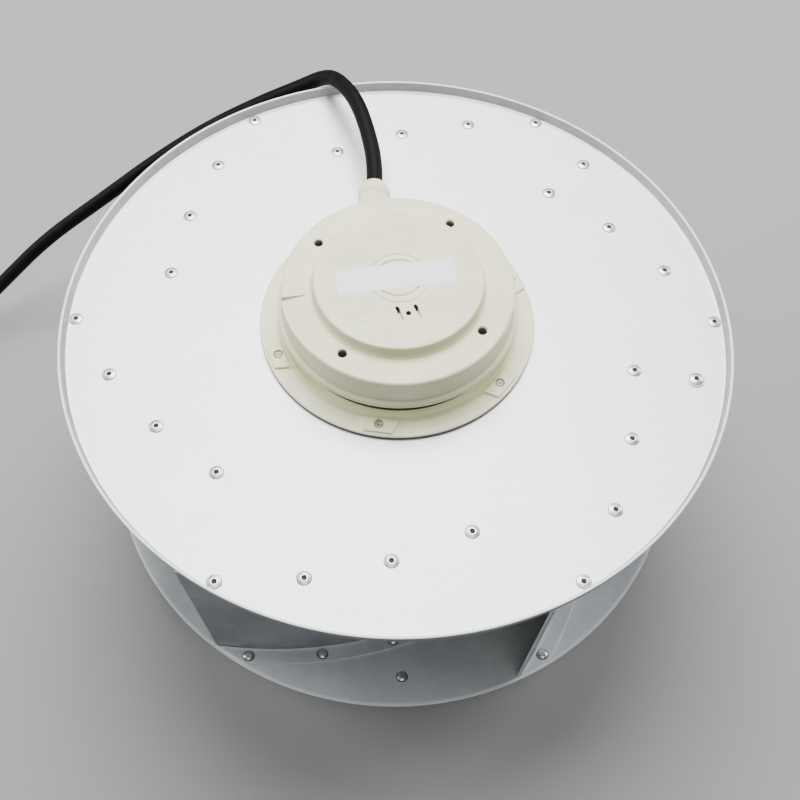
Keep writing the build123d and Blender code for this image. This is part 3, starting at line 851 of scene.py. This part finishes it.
def rivet_tree():
    """Rows of one rivet along every blade's arc, standing square on a cone or a plate."""
    floats = (
        "Line reach", "First angle", "Pitch angle", "Centre distance", "Centre angle",
        "Edge radius", "Edge height", "Slope",
    )
    sizes = {"Rivet": "NodeSocketObject", "Material": "NodeSocketMaterial"}
    sizes.update({"Blades": "NodeSocketInt", "Rows": "NodeSocketInt"})
    sizes.update({label: "NodeSocketFloat" for label in floats})
    graph, inputs = new_tree("rivet_rows", sizes)
    maths = graph.maths
    form = graph.add("GeometryNodeObjectInfo", None, {"Object": inputs["Rivet"]}, "Geometry")
    total = inputs["Blades"] * inputs["Rows"]
    spots = graph.add("GeometryNodeMeshLine", None, {"Count": total, "Offset": (0, 0, 0)})
    index = graph.add("GeometryNodeInputIndex")
    blade = maths("FLOOR", (index + 0.5) / inputs["Rows"])
    row = index - blade * inputs["Rows"]
    whole = blade * (2 * pi) / inputs["Blades"]
    turn = inputs["First angle"] + row * inputs["Pitch angle"] + whole
    centre = inputs["Centre angle"] + whole
    away = inputs["Centre distance"]
    reach = inputs["Line reach"]
    x = maths("COSINE", centre) * away + maths("COSINE", turn) * reach
    y = maths("SINE", centre) * away + maths("SINE", turn) * reach
    radius = maths("SQRT", x * x + y * y)
    z = inputs["Edge height"] - (inputs["Edge radius"] - radius) * inputs["Slope"]
    place = graph.add("ShaderNodeCombineXYZ", None, {0: x, 1: y, 2: z})
    tilt = inputs["Slope"] * -1.0
    lean = {0: x / radius * tilt, 1: y / radius * tilt, 2: 1.0}
    normal = graph.add("ShaderNodeCombineXYZ", None, lean)
    moved = graph.add("GeometryNodeSetPosition", None, {"Geometry": spots, "Position": place})
    square = graph.add("FunctionNodeAlignRotationToVector", {"axis": "Z"}, {"Vector": normal})
    wiring = {"Points": moved, "Instance": form, "Rotation": square}
    copies = graph.add("GeometryNodeInstanceOnPoints", None, wiring)
    return close_tree(graph, copies, inputs["Material"])


RING_TREE = ring_tree()
RIVET_TREE = rivet_tree()


def rim_line(inner, outer):
    """A thin dark ring of painted shadow under a rivet's edge."""
    outline = [(inner, 0.0), (outer, 0.0), (outer, SHADOW_RING_HEIGHT), (inner, SHADOW_RING_HEIGHT)]
    return lathe("rim_line", outline, 32)


def with_painted_shade(name, bright, shade_pieces):
    """A rivet's bright piece and its pieces of painted shade as one form."""
    add_materials(bright, RIVET)
    for piece in shade_pieces:
        add_materials(piece, RIVET, RIVET_SHADE)
        for face in piece.data.polygons:
            face.material_index = 1
    form = joined(name, [bright, *shade_pieces])
    add_materials(form, RIVET, RIVET_SHADE)
    return form


def rivet_form():
    """A flat blind rivet: a ring of painted shadow, a low dome and the stem's stub in its well,
    painted dark as the well's shade.
    """
    head = lathe("rivet_head", rounded([
        (RIVET_RADIUS - 0.5, 0.0, 0),
        (RIVET_RADIUS - 0.5, 0.25, 0),
        (RIVET_RADIUS, 0.3, 0.0),
        (RIVET_RADIUS, 0.6, 0.2),
        (3.6, 1.0, 1.5),
        (2.7, RIVET_HEIGHT, 1.0),
        (RIVET_HOLE + 0.3, RIVET_HEIGHT, 0.3),
        (RIVET_HOLE, 0.35, 0),
        (RIVET_HOLE, 0.0, 0),
    ]), 32)
    line = rim_line(RIVET_RADIUS - 0.6, RIVET_RADIUS + 0.35)
    outline = [(0.0, 0.1), (1.65, 0.1), (1.65, 0.3), (1.0, 0.75), (0.0, 0.6)]
    stem = lathe("rivet_stem", outline, 8)
    return with_painted_shade("rivet_form", head, [line, stem])


def tail_form():
    """The plain domed end of a rivet, with a ring of painted shadow round it."""
    dome = lathe("rivet_tail", rounded([
        (0.0, 0.0, 0),
        (TAIL_RADIUS, 0.0, 0),
        (TAIL_RADIUS, 0.5, 0.2),
        (2.6, TAIL_HEIGHT, 1.2),
        (0.0, TAIL_HEIGHT, 0),
    ]), 32)
    line = rim_line(TAIL_RADIUS - 0.5, TAIL_RADIUS + 0.7)
    return with_painted_shade("tail_form", dome, [line])


def rivet_rows(name, form, reach, first, rows, edge_radius, edge_height, slope):
    values = {
        "Rivet": form,
        "Material": RIVET,
        "Blades": BLADE_COUNT,
        "Rows": rows,
        "Line reach": reach * MM,
        "First angle": START_ANGLE + first / reach,
        "Pitch angle": RIVET_PITCH / reach,
        "Centre distance": CENTRE_DISTANCE * MM,
        "Centre angle": CENTRE_ANGLE,
        "Edge radius": edge_radius * MM,
        "Edge height": edge_height * MM,
        "Slope": slope,
    }
    return grown(name, RIVET_TREE, values)


def placed_copy(name, form, place, normal=Vector((0, 0, 1))):
    """A copy of a form standing at a place in millimetres, square on `normal`."""
    copy = put_in_scene(name, form.data.copy())
    copy.data.transform(Matrix.Translation(Vector(place) * MM) @ upright_to(normal))
    return copy


# Wheel pieces

back_plate = make_back_plate()
add_materials(back_plate, ZINC, ZINC_HIGHLIGHT, ZINC_OUTER_SHADE, ZINC_WALL_SHADE)
# Painted highlight on the lip's top edge; painted shade on its outer wall, the plate's underside
# and the lip's inner wall.
for face in back_plate.data.polygons:
    spread = axis_distance(face)
    if face.center.z > (WHEEL_HEIGHT - 0.6) * MM:
        face.material_index = 1
    elif spread > WHEEL_RADIUS - 1.6 or face.center.z < (PLATE_UNDER + 0.1) * MM:
        face.material_index = 2
    elif spread > WHEEL_RADIUS - SHEET - LIP_LEAN - 0.3:
        face.material_index = 3

shroud = make_shroud()
add_materials(shroud, ZINC_SHROUD, ZINC_HIGHLIGHT)
# Painted highlight on the band along the shroud's rim.
for face in shroud.data.polygons:
    if axis_distance(face) > SHROUD_RADIUS - HIGHLIGHT_BAND and face.normal.z > -0.5:
        face.material_index = 1

blade_form = one_blade()
wheel_ring = {"Count": BLADE_COUNT, "First angle": 0.0}
blades = grown("blades", RING_TREE, {"Form": blade_form, "Material": ZINC_BLADE_SHADE, **wheel_ring})
bpy.data.objects.remove(blade_form)

rivet = rivet_form()
tail = tail_form()
plate_reach = BLADE_CURVE + RIVET_LINE
plate_rivets = rivet_rows(
    "plate_rivets", rivet, plate_reach, FIRST_PLATE_RIVET, PLATE_RIVET_ROWS,
    WHEEL_RADIUS, PLATE_TOP, 0.0,
)
shroud_reach = BLADE_CURVE - BLADE_LEAN + RIVET_LINE
on_flange = SHROUD_EDGE + (BLADE_SHEET + 0.05) * sqrt(1 + SHROUD_SLOPE ** 2)
foot_rivets = rivet_rows(
    "foot_rivets", tail, shroud_reach, FIRST_SHROUD_RIVET, SHROUD_RIVET_ROWS,
    SHROUD_RADIUS, on_flange, SHROUD_SLOPE,
)

BALANCE_RADIUS = 229.5
WASHER_ANGLE = -10.97
PLAIN_ANGLE = 48.13
WASHER_RADIUS = 6.35
WASHER_BORE = 3.0
WASHER_HEIGHT = 1.2
SHROUD_BALANCE = (223.0, -86.2)
washer_place = (*polar(BALANCE_RADIUS, WASHER_ANGLE), PLATE_TOP)
washer = lathe("balance_weight_washer", rounded([
    (WASHER_BORE, 0.0, 0),
    (WASHER_RADIUS, 0.0, 0),
    (WASHER_RADIUS, WASHER_HEIGHT, 0.3),
    (WASHER_BORE, WASHER_HEIGHT, 0),
]), 40, Matrix.Translation(washer_place))
add_materials(washer, ZINC)
shroud_spot = polar(*SHROUD_BALANCE)
tilted = Vector((*(-SHROUD_SLOPE * shroud_spot.normalized()), 1.0)).normalized()
balance_rivets = joined("balance_rivet_set", [
    placed_copy("on_washer", rivet, Vector(washer_place) + Vector((0, 0, WASHER_HEIGHT))),
    placed_copy("on_plate", rivet, (*polar(BALANCE_RADIUS, PLAIN_ANGLE), PLATE_TOP)),
    placed_copy("on_shroud", tail, (*shroud_spot, air_side(SHROUD_BALANCE[0]) + 0.05), tilted),
])
add_materials(balance_rivets, RIVET, RIVET_SHADE)
for spare in (rivet, tail):
    bpy.data.objects.remove(spare)


# Rotor

def make_rotor_housing():
    floor_top = BELL_LOW + BELL_FLOOR
    outline = rounded([
        (SHAFT_BORE, BELL_LOW, 0),
        (BELL_RADIUS, BELL_LOW, 7.0),
        (BELL_RADIUS, PLATE_TOP, 0),
        (RING_RADIUS, PLATE_TOP, 0.4),
        (RING_RADIUS, RING_TOP, 1.2),
        (LEDGE_RADIUS + 1.6, RING_TOP, 1.0),
        (LEDGE_RADIUS, LEDGE_TOP, 0.5),
        (SHADE_RADIUS, LEDGE_TOP, 0.0),
        (BELL_BORE, LEDGE_TOP, 0.3),
        (BELL_BORE, floor_top, 2.0),
        (HUB_RADIUS, floor_top, 1.0),
        (HUB_RADIUS, HUB_TOP, 0.5),
        (SHAFT_BORE, HUB_TOP, 0),
    ])
    return lathe("rotor_casting", outline, 216)


LUG_INNER = (91.5, 13.9)
LUG_OUTER = (102.5, 10.5)
LUG_HOLE = 3.6
SCREW_RADIUS = 3.0
SCREW_CORNER = 5.77
SCREW_HEAD = 4.0


def make_lug():
    """One raised pad of the rotor's ring, bevelled, with its screw hole."""
    inner_radius, inner_half = LUG_INNER
    outer_radius, outer_half = LUG_OUTER
    outline = [
        (inner_radius, -inner_half), (outer_radius, -outer_half),
        (outer_radius, outer_half), (inner_radius, inner_half),
    ]
    pad = bevelled(prism("lug_form", outline, RING_TOP - 0.6, LUG_TOP), 0.35, 3)
    place = Matrix.Translation((LUG_CIRCLE, 0, RING_TOP - 0.5))
    well = lathe("well", [(0, 0), (LUG_HOLE, 0), (LUG_HOLE, 4), (0, 4)], 24, place)
    return bevelled(cut(pad, well), 0.2, 1, 60.0)


def make_screw():
    """A hexagon screw from below, with a bare tip in the lug's hole."""
    sides = [polar(SCREW_CORNER, 60 * side + 30) for side in range(6)]
    head = prism("screw_head", sides, -SCREW_HEAD, 0.0)
    collar = lathe("screw_collar", [(0, -0.2), (6.4, -0.2), (6.4, 0.0), (0, 0.0)], 32)
    top = LUG_TOP - PLATE_UNDER - 0.5
    shank = lathe("screw_shank", rounded([
        (0, -0.5, 0),
        (SCREW_RADIUS, -0.5, 0),
        (SCREW_RADIUS - 0.1, top, 0.7),
        (1.5, top, 0.1),
        (1.2, top - 0.3, 0),
        (0, top - 0.3, 0),
    ]), 24)
    screw = joined("screw_form", [bevelled(head, 0.4, 2), collar, shank])
    screw.data.transform(Matrix.Translation(Vector((LUG_CIRCLE, 0, PLATE_UNDER)) * MM))
    return screw


rotor_casting = make_rotor_housing()
add_materials(rotor_casting, CREAM, SHADED_EDGE)
# Painted shade on the ring's outer side and on the ledge under the stator's lip.
for face in rotor_casting.data.polygons:
    spread = axis_distance(face)
    on_edge = spread > RING_RADIUS - 0.3 and face.center.z < (RING_TOP - 1.2) * MM
    on_ledge = face.center.z > (LEDGE_TOP - 0.1) * MM
    if on_edge or (on_ledge and BELL_BORE + 1.0 < spread < SHADE_RADIUS):
        face.material_index = 1
lug = make_lug()
add_materials(lug, CREAM)
lug_ring = {"Count": LUG_COUNT, "First angle": radians(LUG_ANGLE)}
lugs = grown("rotor_lugs", RING_TREE, {"Form": lug, "Material": CREAM, **lug_ring})
screw = make_screw()
add_materials(screw, SCREW_STEEL)
screws = grown("rotor_screws", RING_TREE, {"Form": screw, "Material": SCREW_STEEL, **lug_ring})
for spare in (lug, screw):
    bpy.data.objects.remove(spare)


# Fixed flange

def make_flange_body():
    spigot_low = LEDGE_TOP + 1.2
    tube_top = DISC_TOP - 12.0
    outline = rounded([
        (0.0, DISC_TOP, 0),
        (DISC_RADIUS, DISC_TOP, 1.6),
        (DISC_RADIUS + 1.2, FACE_Z + 2.0, 0.0),
        (DISC_RADIUS + 3.0, FACE_Z, 1.4),
        (FACE_RADIUS, FACE_Z, 2.2),
        (FACE_RADIUS + 1.2, SKIRT_TOP, 0.8),
        (SKIRT_RADIUS, SKIRT_TOP, 2.0),
        (SKIRT_RADIUS, SKIRT_LOW, 0.8),
        (SPIGOT_RADIUS, SKIRT_LOW, 0.0),
        (SPIGOT_RADIUS, spigot_low, 0.0),
        (SPIGOT_BORE, spigot_low, 0.0),
        (SPIGOT_BORE, COVER_UNDER, 1.0),
        (TUBE_RADIUS, COVER_UNDER, 1.0),
        (TUBE_RADIUS, HUB_TOP, 0.4),
        (BEARING_BORE, HUB_TOP, 0.0),
        (BEARING_BORE, tube_top, 0.0),
        (0.0, tube_top, 0),
    ])
    return lathe("flange_casting", outline, 240)


def ramp_cutter():
    """What lies above a ramp that starts deep at one step and comes back up to level."""
    across, along = 8, 24
    points = []
    for depth, lift in ((RAMP_DEPTH, 0.01), (0.0, 6.01)):
        for step in range(along + 1):
            for place in range(across + 1):
                radius = RAMP_INNER + (RAMP_OUTER - RAMP_INNER) * place / across
                share = min(1.0, (radius - RAMP_INNER) / (FACE_RADIUS - RAMP_INNER))
                drop = depth * (1 - step / along) * share
                spot = polar(radius, RAMP_ANGLE + RAMP_SPAN * step / along)
                points.append((*spot, FACE_Z - drop + lift))
    row = across + 1
    layer = row * (along + 1)
    faces = []
    for step in range(along):
        for place in range(across):
            corner = step * row + place
            face = (corner, corner + 1, corner + row + 1, corner + row)
            faces += [face, tuple(index + layer for index in face)]
    rim = list(range(row)) + [step * row + across for step in range(1, along + 1)]
    rim += [along * row + place for place in range(across - 1, -1, -1)]
    rim += [step * row for step in range(along - 1, 0, -1)]
    for here, there in zip(rim, rim[1:] + rim[:1]):
        faces.append((here, there, there + layer, here + layer))
    return mesh_piece("ramp_wedge", points, faces)


def well_cutter(place, radius, depth, chamfer, steps=36):
    """A round well with a small chamfer at its mouth."""
    mouth = radius + chamfer
    outline = [(0, -depth), (radius, -depth), (radius, -chamfer), (mouth, 0), (mouth, 2), (0, 2)]
    return lathe("well", outline, steps, Matrix.Translation(place))


def disc_cutter(outline, steps, spot=(0.0, 0.0)):
    """A turned cutter that stands at a spot of the disc's top."""
    return lathe("disc_cut", outline, steps, Matrix.Translation((*spot, DISC_TOP)))


def slot_cutter(start, end, width, depth):
    """A straight slot in the disc between two places."""
    along = (end - start).normalized() * width / 2
    across = Vector((-along.y, along.x))
    first, last = start - along, end + along
    corners = (first - across, last - across, last + across, first + across)
    outline = rounded([(*corner, 0.4 * width) for corner in corners])
    return prism("slot", outline, DISC_TOP - depth, DISC_TOP + 2.0)


MOUNTING_SPOTS = [polar(MOUNTING_RADIUS, MOUNTING_ANGLE + 90 * number) for number in range(4)]
SLOTS = (
    (Vector((-0.2, -27.2)), Vector((3.9, -36.6))),
    (Vector((12.8, -24.6)), Vector((16.4, -33.6))),
)
SLOT_END = 0.12
CENTRE_MARK = Vector((8.1, -31.3))
DASH = (Vector((-6.9, -33.2)), Vector((-4.9, -33.2)))
PIN_MARKS = ((30.6, -37.0), (47.0, 80.0), (43.0, -122.0))
GROOVES = (
    [(15.2, 0.05), (16.2, -1.3), (17.2, -1.3), (17.5, 0.05), (17.5, 1), (15.2, 1)],
    [(21.5, -0.8), (22.0, -0.8), (22.3, 0.05), (22.3, 1.0), (21.6, 1.0)],
)
SIDE_MARK = (86.6, -92.5, FACE_Z - 9.0)


def make_flange():
    """The flange with its ramp, threaded holes, slots, marks and grooves."""
    body = make_flange_body()
    cutters = [ramp_cutter()]
    for spot in MOUNTING_SPOTS:
        place = (*spot, FACE_Z)
        cutters.append(well_cutter(place, MOUNTING_HOLE, MOUNTING_DEPTH, MOUNTING_CHAMFER))
    cutters += [slot_cutter(*slot, 2.5, 3.6) for slot in SLOTS]
    cutters.append(slot_cutter(*DASH, 1.2, 0.3))
    cut(body, joined("cutters", cutters))
    cutters = [well_cutter((*CENTRE_MARK, DISC_TOP), 1.9, 6.0, 0.2, 20)]
    for start, end in SLOTS:
        deep_end = [(0, -6), (1.6, -6), (1.6, 2), (0, 2)]
        cutters.append(disc_cutter(deep_end, 20, start + (end - start) * SLOT_END))
    for mark in PIN_MARKS:
        ring = [(4.1, -0.25), (4.6, -0.25), (4.9, 0.5), (3.8, 0.5)]
        cutters.append(disc_cutter(ring, 40, polar(*mark)))
    cutters += [disc_cutter(outline, 120) for outline in GROOVES]
    radius, angle, height = SIDE_MARK
    place = Matrix.Translation((*polar(radius, angle), height))
    cutters.append(lathe("side_mark", [(0, -0.7), (0.7, -0.7), (0.7, 0.7), (0, 0.7)], 12, place))
    return flat_faces_kept(cut(body, joined("cutters", cutters)))


flange = make_flange()
add_materials(flange, CREAM, THREAD_SHADE, CREAM_SIDE_SHADE)
dark_marks = (CENTRE_MARK, *(start for start, end in SLOTS))
for face in flange.data.polygons:
    spot = Vector(face.center[:2]) / MM
    height = face.center.z / MM
    on_disc_wall = DISC_RADIUS - 3.4 < spot.length < DISC_RADIUS + 3.6
    on_wall = on_disc_wall or spot.length > FACE_RADIUS - 2.5
    in_hole = any((spot - hole).length < MOUNTING_HOLE + 0.05 for hole in MOUNTING_SPOTS)
    in_mark = any((spot - mark).length < 3.4 for mark in dark_marks)
    # Painted shade: the flange's side walls take the darker cream.
    if abs(face.normal.z) < 0.35 and on_wall:
        face.material_index = 2
    # Painted shade in the threaded holes, the slots' deep ends and the centre mark.
    if in_hole and height < FACE_Z - 0.5:
        face.material_index = 1
    if in_mark and DISC_TOP - 6.1 < height < DISC_TOP - 0.3:
        face.material_index = 1

STICKER_SIZE = (87.0, 22.5)
STICKER_PLACE = (-1.7, 1.1)
STICKER_TURN = 10.7
STICKER_THICKNESS = 0.12


def make_sticker():
    half_x, half_y = STICKER_SIZE[0] / 2, STICKER_SIZE[1] / 2
    corners = ((-half_x, -half_y), (half_x, -half_y), (half_x, half_y), (-half_x, half_y))
    outline = rounded([(*corner, 1.2) for corner in corners])
    sticker = prism("rating_sticker", outline, 0.0, STICKER_THICKNESS)
    turn = Matrix.Rotation(radians(STICKER_TURN), 4, "Z")
    place = Matrix.Translation(Vector((*STICKER_PLACE, DISC_TOP + 0.01)) * MM)
    sticker.data.transform(place @ turn)
    return sticker


sticker = make_sticker()
add_materials(sticker, PAPER)


# Gland

GLAND_AXIS = Matrix.Translation((GLAND_X, 0, GLAND_Z)) @ Matrix.Rotation(radians(-90), 4, "X")


def gland_part(name, outline, steps=72):
    """A part turned round the gland's axis. Its heights count outwards from the wheel's axis."""
    return lathe(name, rounded(outline), steps, GLAND_AXIS)


gland_body = gland_part("gland_body", [
    (7.2, BOSS_END - 11.9, 0),
    (10.0, BOSS_END - 11.9, 0),
    (10.0, BOSS_END, 0),
    (12.4, BOSS_END, 0.3),
    (12.4, GLAND_FACE, 0.3),
    (9.4, GLAND_FACE, 0),
    (9.4, GLAND_FACE + 6, 0),
    (7.2, GLAND_FACE + 6, 0),
])
gland_boss = gland_part("gland_boss", [
    (0, 60.0, 0),
    (12.2, 60.0, 0),
    (12.2, BOSS_END, 0.6),
    (10.05, BOSS_END, 0),
    (0, BOSS_END - 11, 0),
])
# The nut is a round grip whose shoulder narrows to the mouth.
gland_cap = gland_part("gland_cap", [
    (9.45, GLAND_FACE, 0),
    (12.6, GLAND_FACE + 0.1, 0.3),
    (12.6, GLAND_FACE + 5.4, 0.7),
    (9.6, NUT_END - 0.8, 0.6),
    (9.2, NUT_END, 0.4),
    (6.9, NUT_END, 0.5),
    (6.9, GLAND_FACE + 7, 0),
    (9.45, GLAND_FACE + 7, 0),
], 96)
add_materials(gland_boss, CREAM)
add_materials(gland_body, CREAM_PLASTIC)
add_materials(gland_cap, CREAM_PLASTIC)


# Tie and bare cores

TIE_WIDTH = 4.8
TIE_STRAP = 1.2
TIE_ROOM = 0.15
TIE_CORNER = 6.5
LOCK_WIDTH = 7.2


def make_tie():
    """A strap drawn tight round the coil's turns, with its lock."""
    to_tie = (TIE_ANGLE - COIL_START_ANGLE) % 360
    outer = COIL_OUTER_TURN - COIL_PITCH * to_tie / 360 + CABLE_DIAMETER / 2
    inner = outer - COIL_PITCH - CABLE_DIAMETER
    high = TIE_LIFT + CABLE_DIAMETER
    loops = []
    for spread in (TIE_STRAP, 0.0):
        away = TIE_ROOM + spread
        loops.append(rounded([
            (inner - away, TIE_LIFT - away, TIE_CORNER + spread),
            (outer + away, TIE_LIFT - away, TIE_CORNER + spread),
            (outer + away, high + away, TIE_CORNER + spread),
            (inner - away, high + away, TIE_CORNER + spread),
        ]))
    count = len(loops[0])
    points = []
    for side in (-TIE_WIDTH / 2, TIE_WIDTH / 2):
        points += [(r, side, z) for loop in loops for r, z in loop]
    faces = []
    for index in range(count):
        following = (index + 1) % count
        outside, inside, far_outside, far_inside = (index + part * count for part in range(4))
        step = following - index
        faces += [
            (outside, outside + step, inside + step, inside),
            (far_outside, far_inside, far_inside + step, far_outside + step),
            (outside, far_outside, far_outside + step, outside + step),
            (inside, inside + step, far_inside + step, far_inside),
        ]
    strap = mesh_piece("strap", points, faces)
    lock_middle = high + TIE_ROOM + TIE_STRAP * 0.2
    side = LOCK_WIDTH / 2
    corners = [(outer - 12, -side), (outer - 5, -side), (outer - 5, side), (outer - 12, side)]
    lock = prism("lock", corners, lock_middle - 1.0, lock_middle + 0.9)
    tie = joined("coil_strap", [bevelled(strap, 0.25, 1), bevelled(lock, 0.5, 2)])
    turn = Matrix.Rotation(radians(TIE_ANGLE), 4, "Z")
    tie.data.transform(Matrix.Translation(Vector((*COIL_CENTRE, 0)) * MM) @ turn)
    return tie


coil_strap = make_tie()
add_materials(coil_strap, TIE_NYLON)

CORE_RADIUS = 1.5
CORE_LENGTH = 40.0
CORE_SPACING = 1.75
FERRULE_LENGTH = 10.0
end_place = Vector(on_coil(COIL_END_ANGLE, TOP_RADIUS, TOP_HEIGHT))
end_along = Vector((*polar(1.0, COIL_END_ANGLE + 90), 0))
end_across = Vector((*polar(1.0, COIL_END_ANGLE), 0))


def core_line(side, level):
    """Points of one core from inside the jacket's end to its ferrule."""
    start = end_place + end_across * side * CORE_SPACING + Vector((0, 0, level * CORE_SPACING))
    steps = ((-6.0, 0.0), (4.0, 0.0), (14.0, 0.8), (25.0, 1.4), (34.0, 1.2), (CORE_LENGTH, 1.0))
    return [start + end_along * along + end_across * side * spread for along, spread in steps]


sleeve = rounded([
    (0, -0.5, 0),
    (1.6, -0.5, 0.1),
    (1.6, 0.8, 0.2),
    (1.2, 1.6, 0.2),
    (1.2, FERRULE_LENGTH, 0.3),
    (0, FERRULE_LENGTH, 0),
])
cores = []
ferrules = []
for number, (side, level) in enumerate(((-1, -1), (1, -1), (1, 1), (-1, 1))):
    line = core_line(side, level)
    cores.append(nurbs_piece(f"core_{number + 1}", line, CORE_RADIUS, CORE_COLOURS[number], 4))
    way = (line[-1] - line[-2]).normalized()
    stand = Matrix.Translation(line[-1]) @ upright_to(way)
    ferrules.append(lathe("sleeve", sleeve, 20, stand))
sleeves = joined("core_sleeves", ferrules)
add_materials(sleeves, TIN)


# Finishes of the CAD pieces that stay

for node, material in {
    "shaft": GROUND_STEEL,
    "bearing_inner_rings": GROUND_STEEL,
    "bearing_outer_rings": GROUND_STEEL,
    "bearing_ball_sets": GROUND_STEEL,
    "circlip": BLACK_STEEL,
    "preload_spring": BLACK_STEEL,
    "rotor_core": LAMINATIONS,
    "stator_core": LAMINATIONS,
    "windings": COPPER,
    "gland_seal": RUBBER,
}.items():
    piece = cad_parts[node]
    piece.data.materials.clear()
    add_materials(piece, material)


# Bodies, replaced nodes and slots

blade_nodes = [f"blade_{number + 1}" for number in range(BLADE_COUNT)]
PLACES = (
    (back_plate, "impeller", ["back_plate"], "zinc_sheet"),
    (shroud, "impeller", ["shroud"], "zinc_sheet"),
    (blades, "impeller", blade_nodes, "zinc_sheet"),
    (plate_rivets, "impeller", ["back_plate_rivets"], "rivet"),
    (foot_rivets, "impeller", ["shroud_rivets"], "rivet"),
    (washer, "impeller", ["balance_washer"], "rivet"),
    (balance_rivets, "impeller", ["balance_rivets"], "rivet"),
    (rotor_casting, "impeller", ["rotor_housing"], "cast_rotor"),
    (lugs, "impeller", [], "cast_rotor"),
    (screws, "impeller", ["flange_screws"], "black_steel"),
    (flange, "motor_stator", ["stator_flange"], "cream_paint"),
    (gland_boss, "motor_stator", [], "cream_paint"),
    (sticker, "motor_stator", [], "cream_plastic"),
    (gland_body, "motor_stator", ["cable_gland"], "cream_plastic"),
    (gland_cap, "motor_stator", ["gland_nut"], "cream_plastic"),
    (cable, "motor_stator", ["cable", "cable_coil"], "cable_jacket"),
    (coil_strap, "motor_stator", ["coil_tie"], "tie_plastic"),
    (cores[0], "motor_stator", ["cable_cores"], "core_insulation"),
    *((core, "motor_stator", [], "core_insulation") for core in cores[1:]),
    (sleeves, "motor_stator", ["core_ferrules"], "ferrule_tin"),
)
for piece, body, nodes, slot in PLACES:
    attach(piece, body)
    if nodes:
        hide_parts(*nodes)


# Floor and light

FLOOR_REACH = 20000.0
FLOOR_DROP = 0.3
corners = [(x * FLOOR_REACH, y * FLOOR_REACH) for x, y in ((-1, -1), (1, -1), (1, 1), (-1, 1))]
floor = mesh_piece("floor", [(*corner, -FLOOR_DROP) for corner in corners], [(0, 1, 2, 3)])
add_materials(floor, FLOOR)

LIGHT_TARGET = Vector((0.0, 0.0, 0.15))


def soft_light(name, place, size, power):
    data = bpy.data.lights.new(name, "AREA")
    data.shape = "DISK"
    data.size = size
    data.energy = power
    lamp = put_in_scene(name, data)
    lamp.location = place
    lamp.rotation_euler = (LIGHT_TARGET - Vector(place)).to_track_quat("-Z", "Y").to_euler()


soft_light("above", (-0.1, 0.75, 1.9), 1.5, 70.0)
soft_light("front", (0.1, -0.9, 1.9), 1.2, 9.0)
soft_light("left", (-1.9, 0.3, 0.9), 1.0, 27.0)
soft_light("right", (1.8, 0.9, 0.9), 1.0, 29.0)

world = bpy.data.worlds.new("studio")
world.use_nodes = True
background = world.node_tree.nodes["Background"]
background.inputs["Color"].default_value = rgb(0.92, 0.95, 1.0)
background.inputs["Strength"].default_value = 0.08
bpy.context.scene.world = world
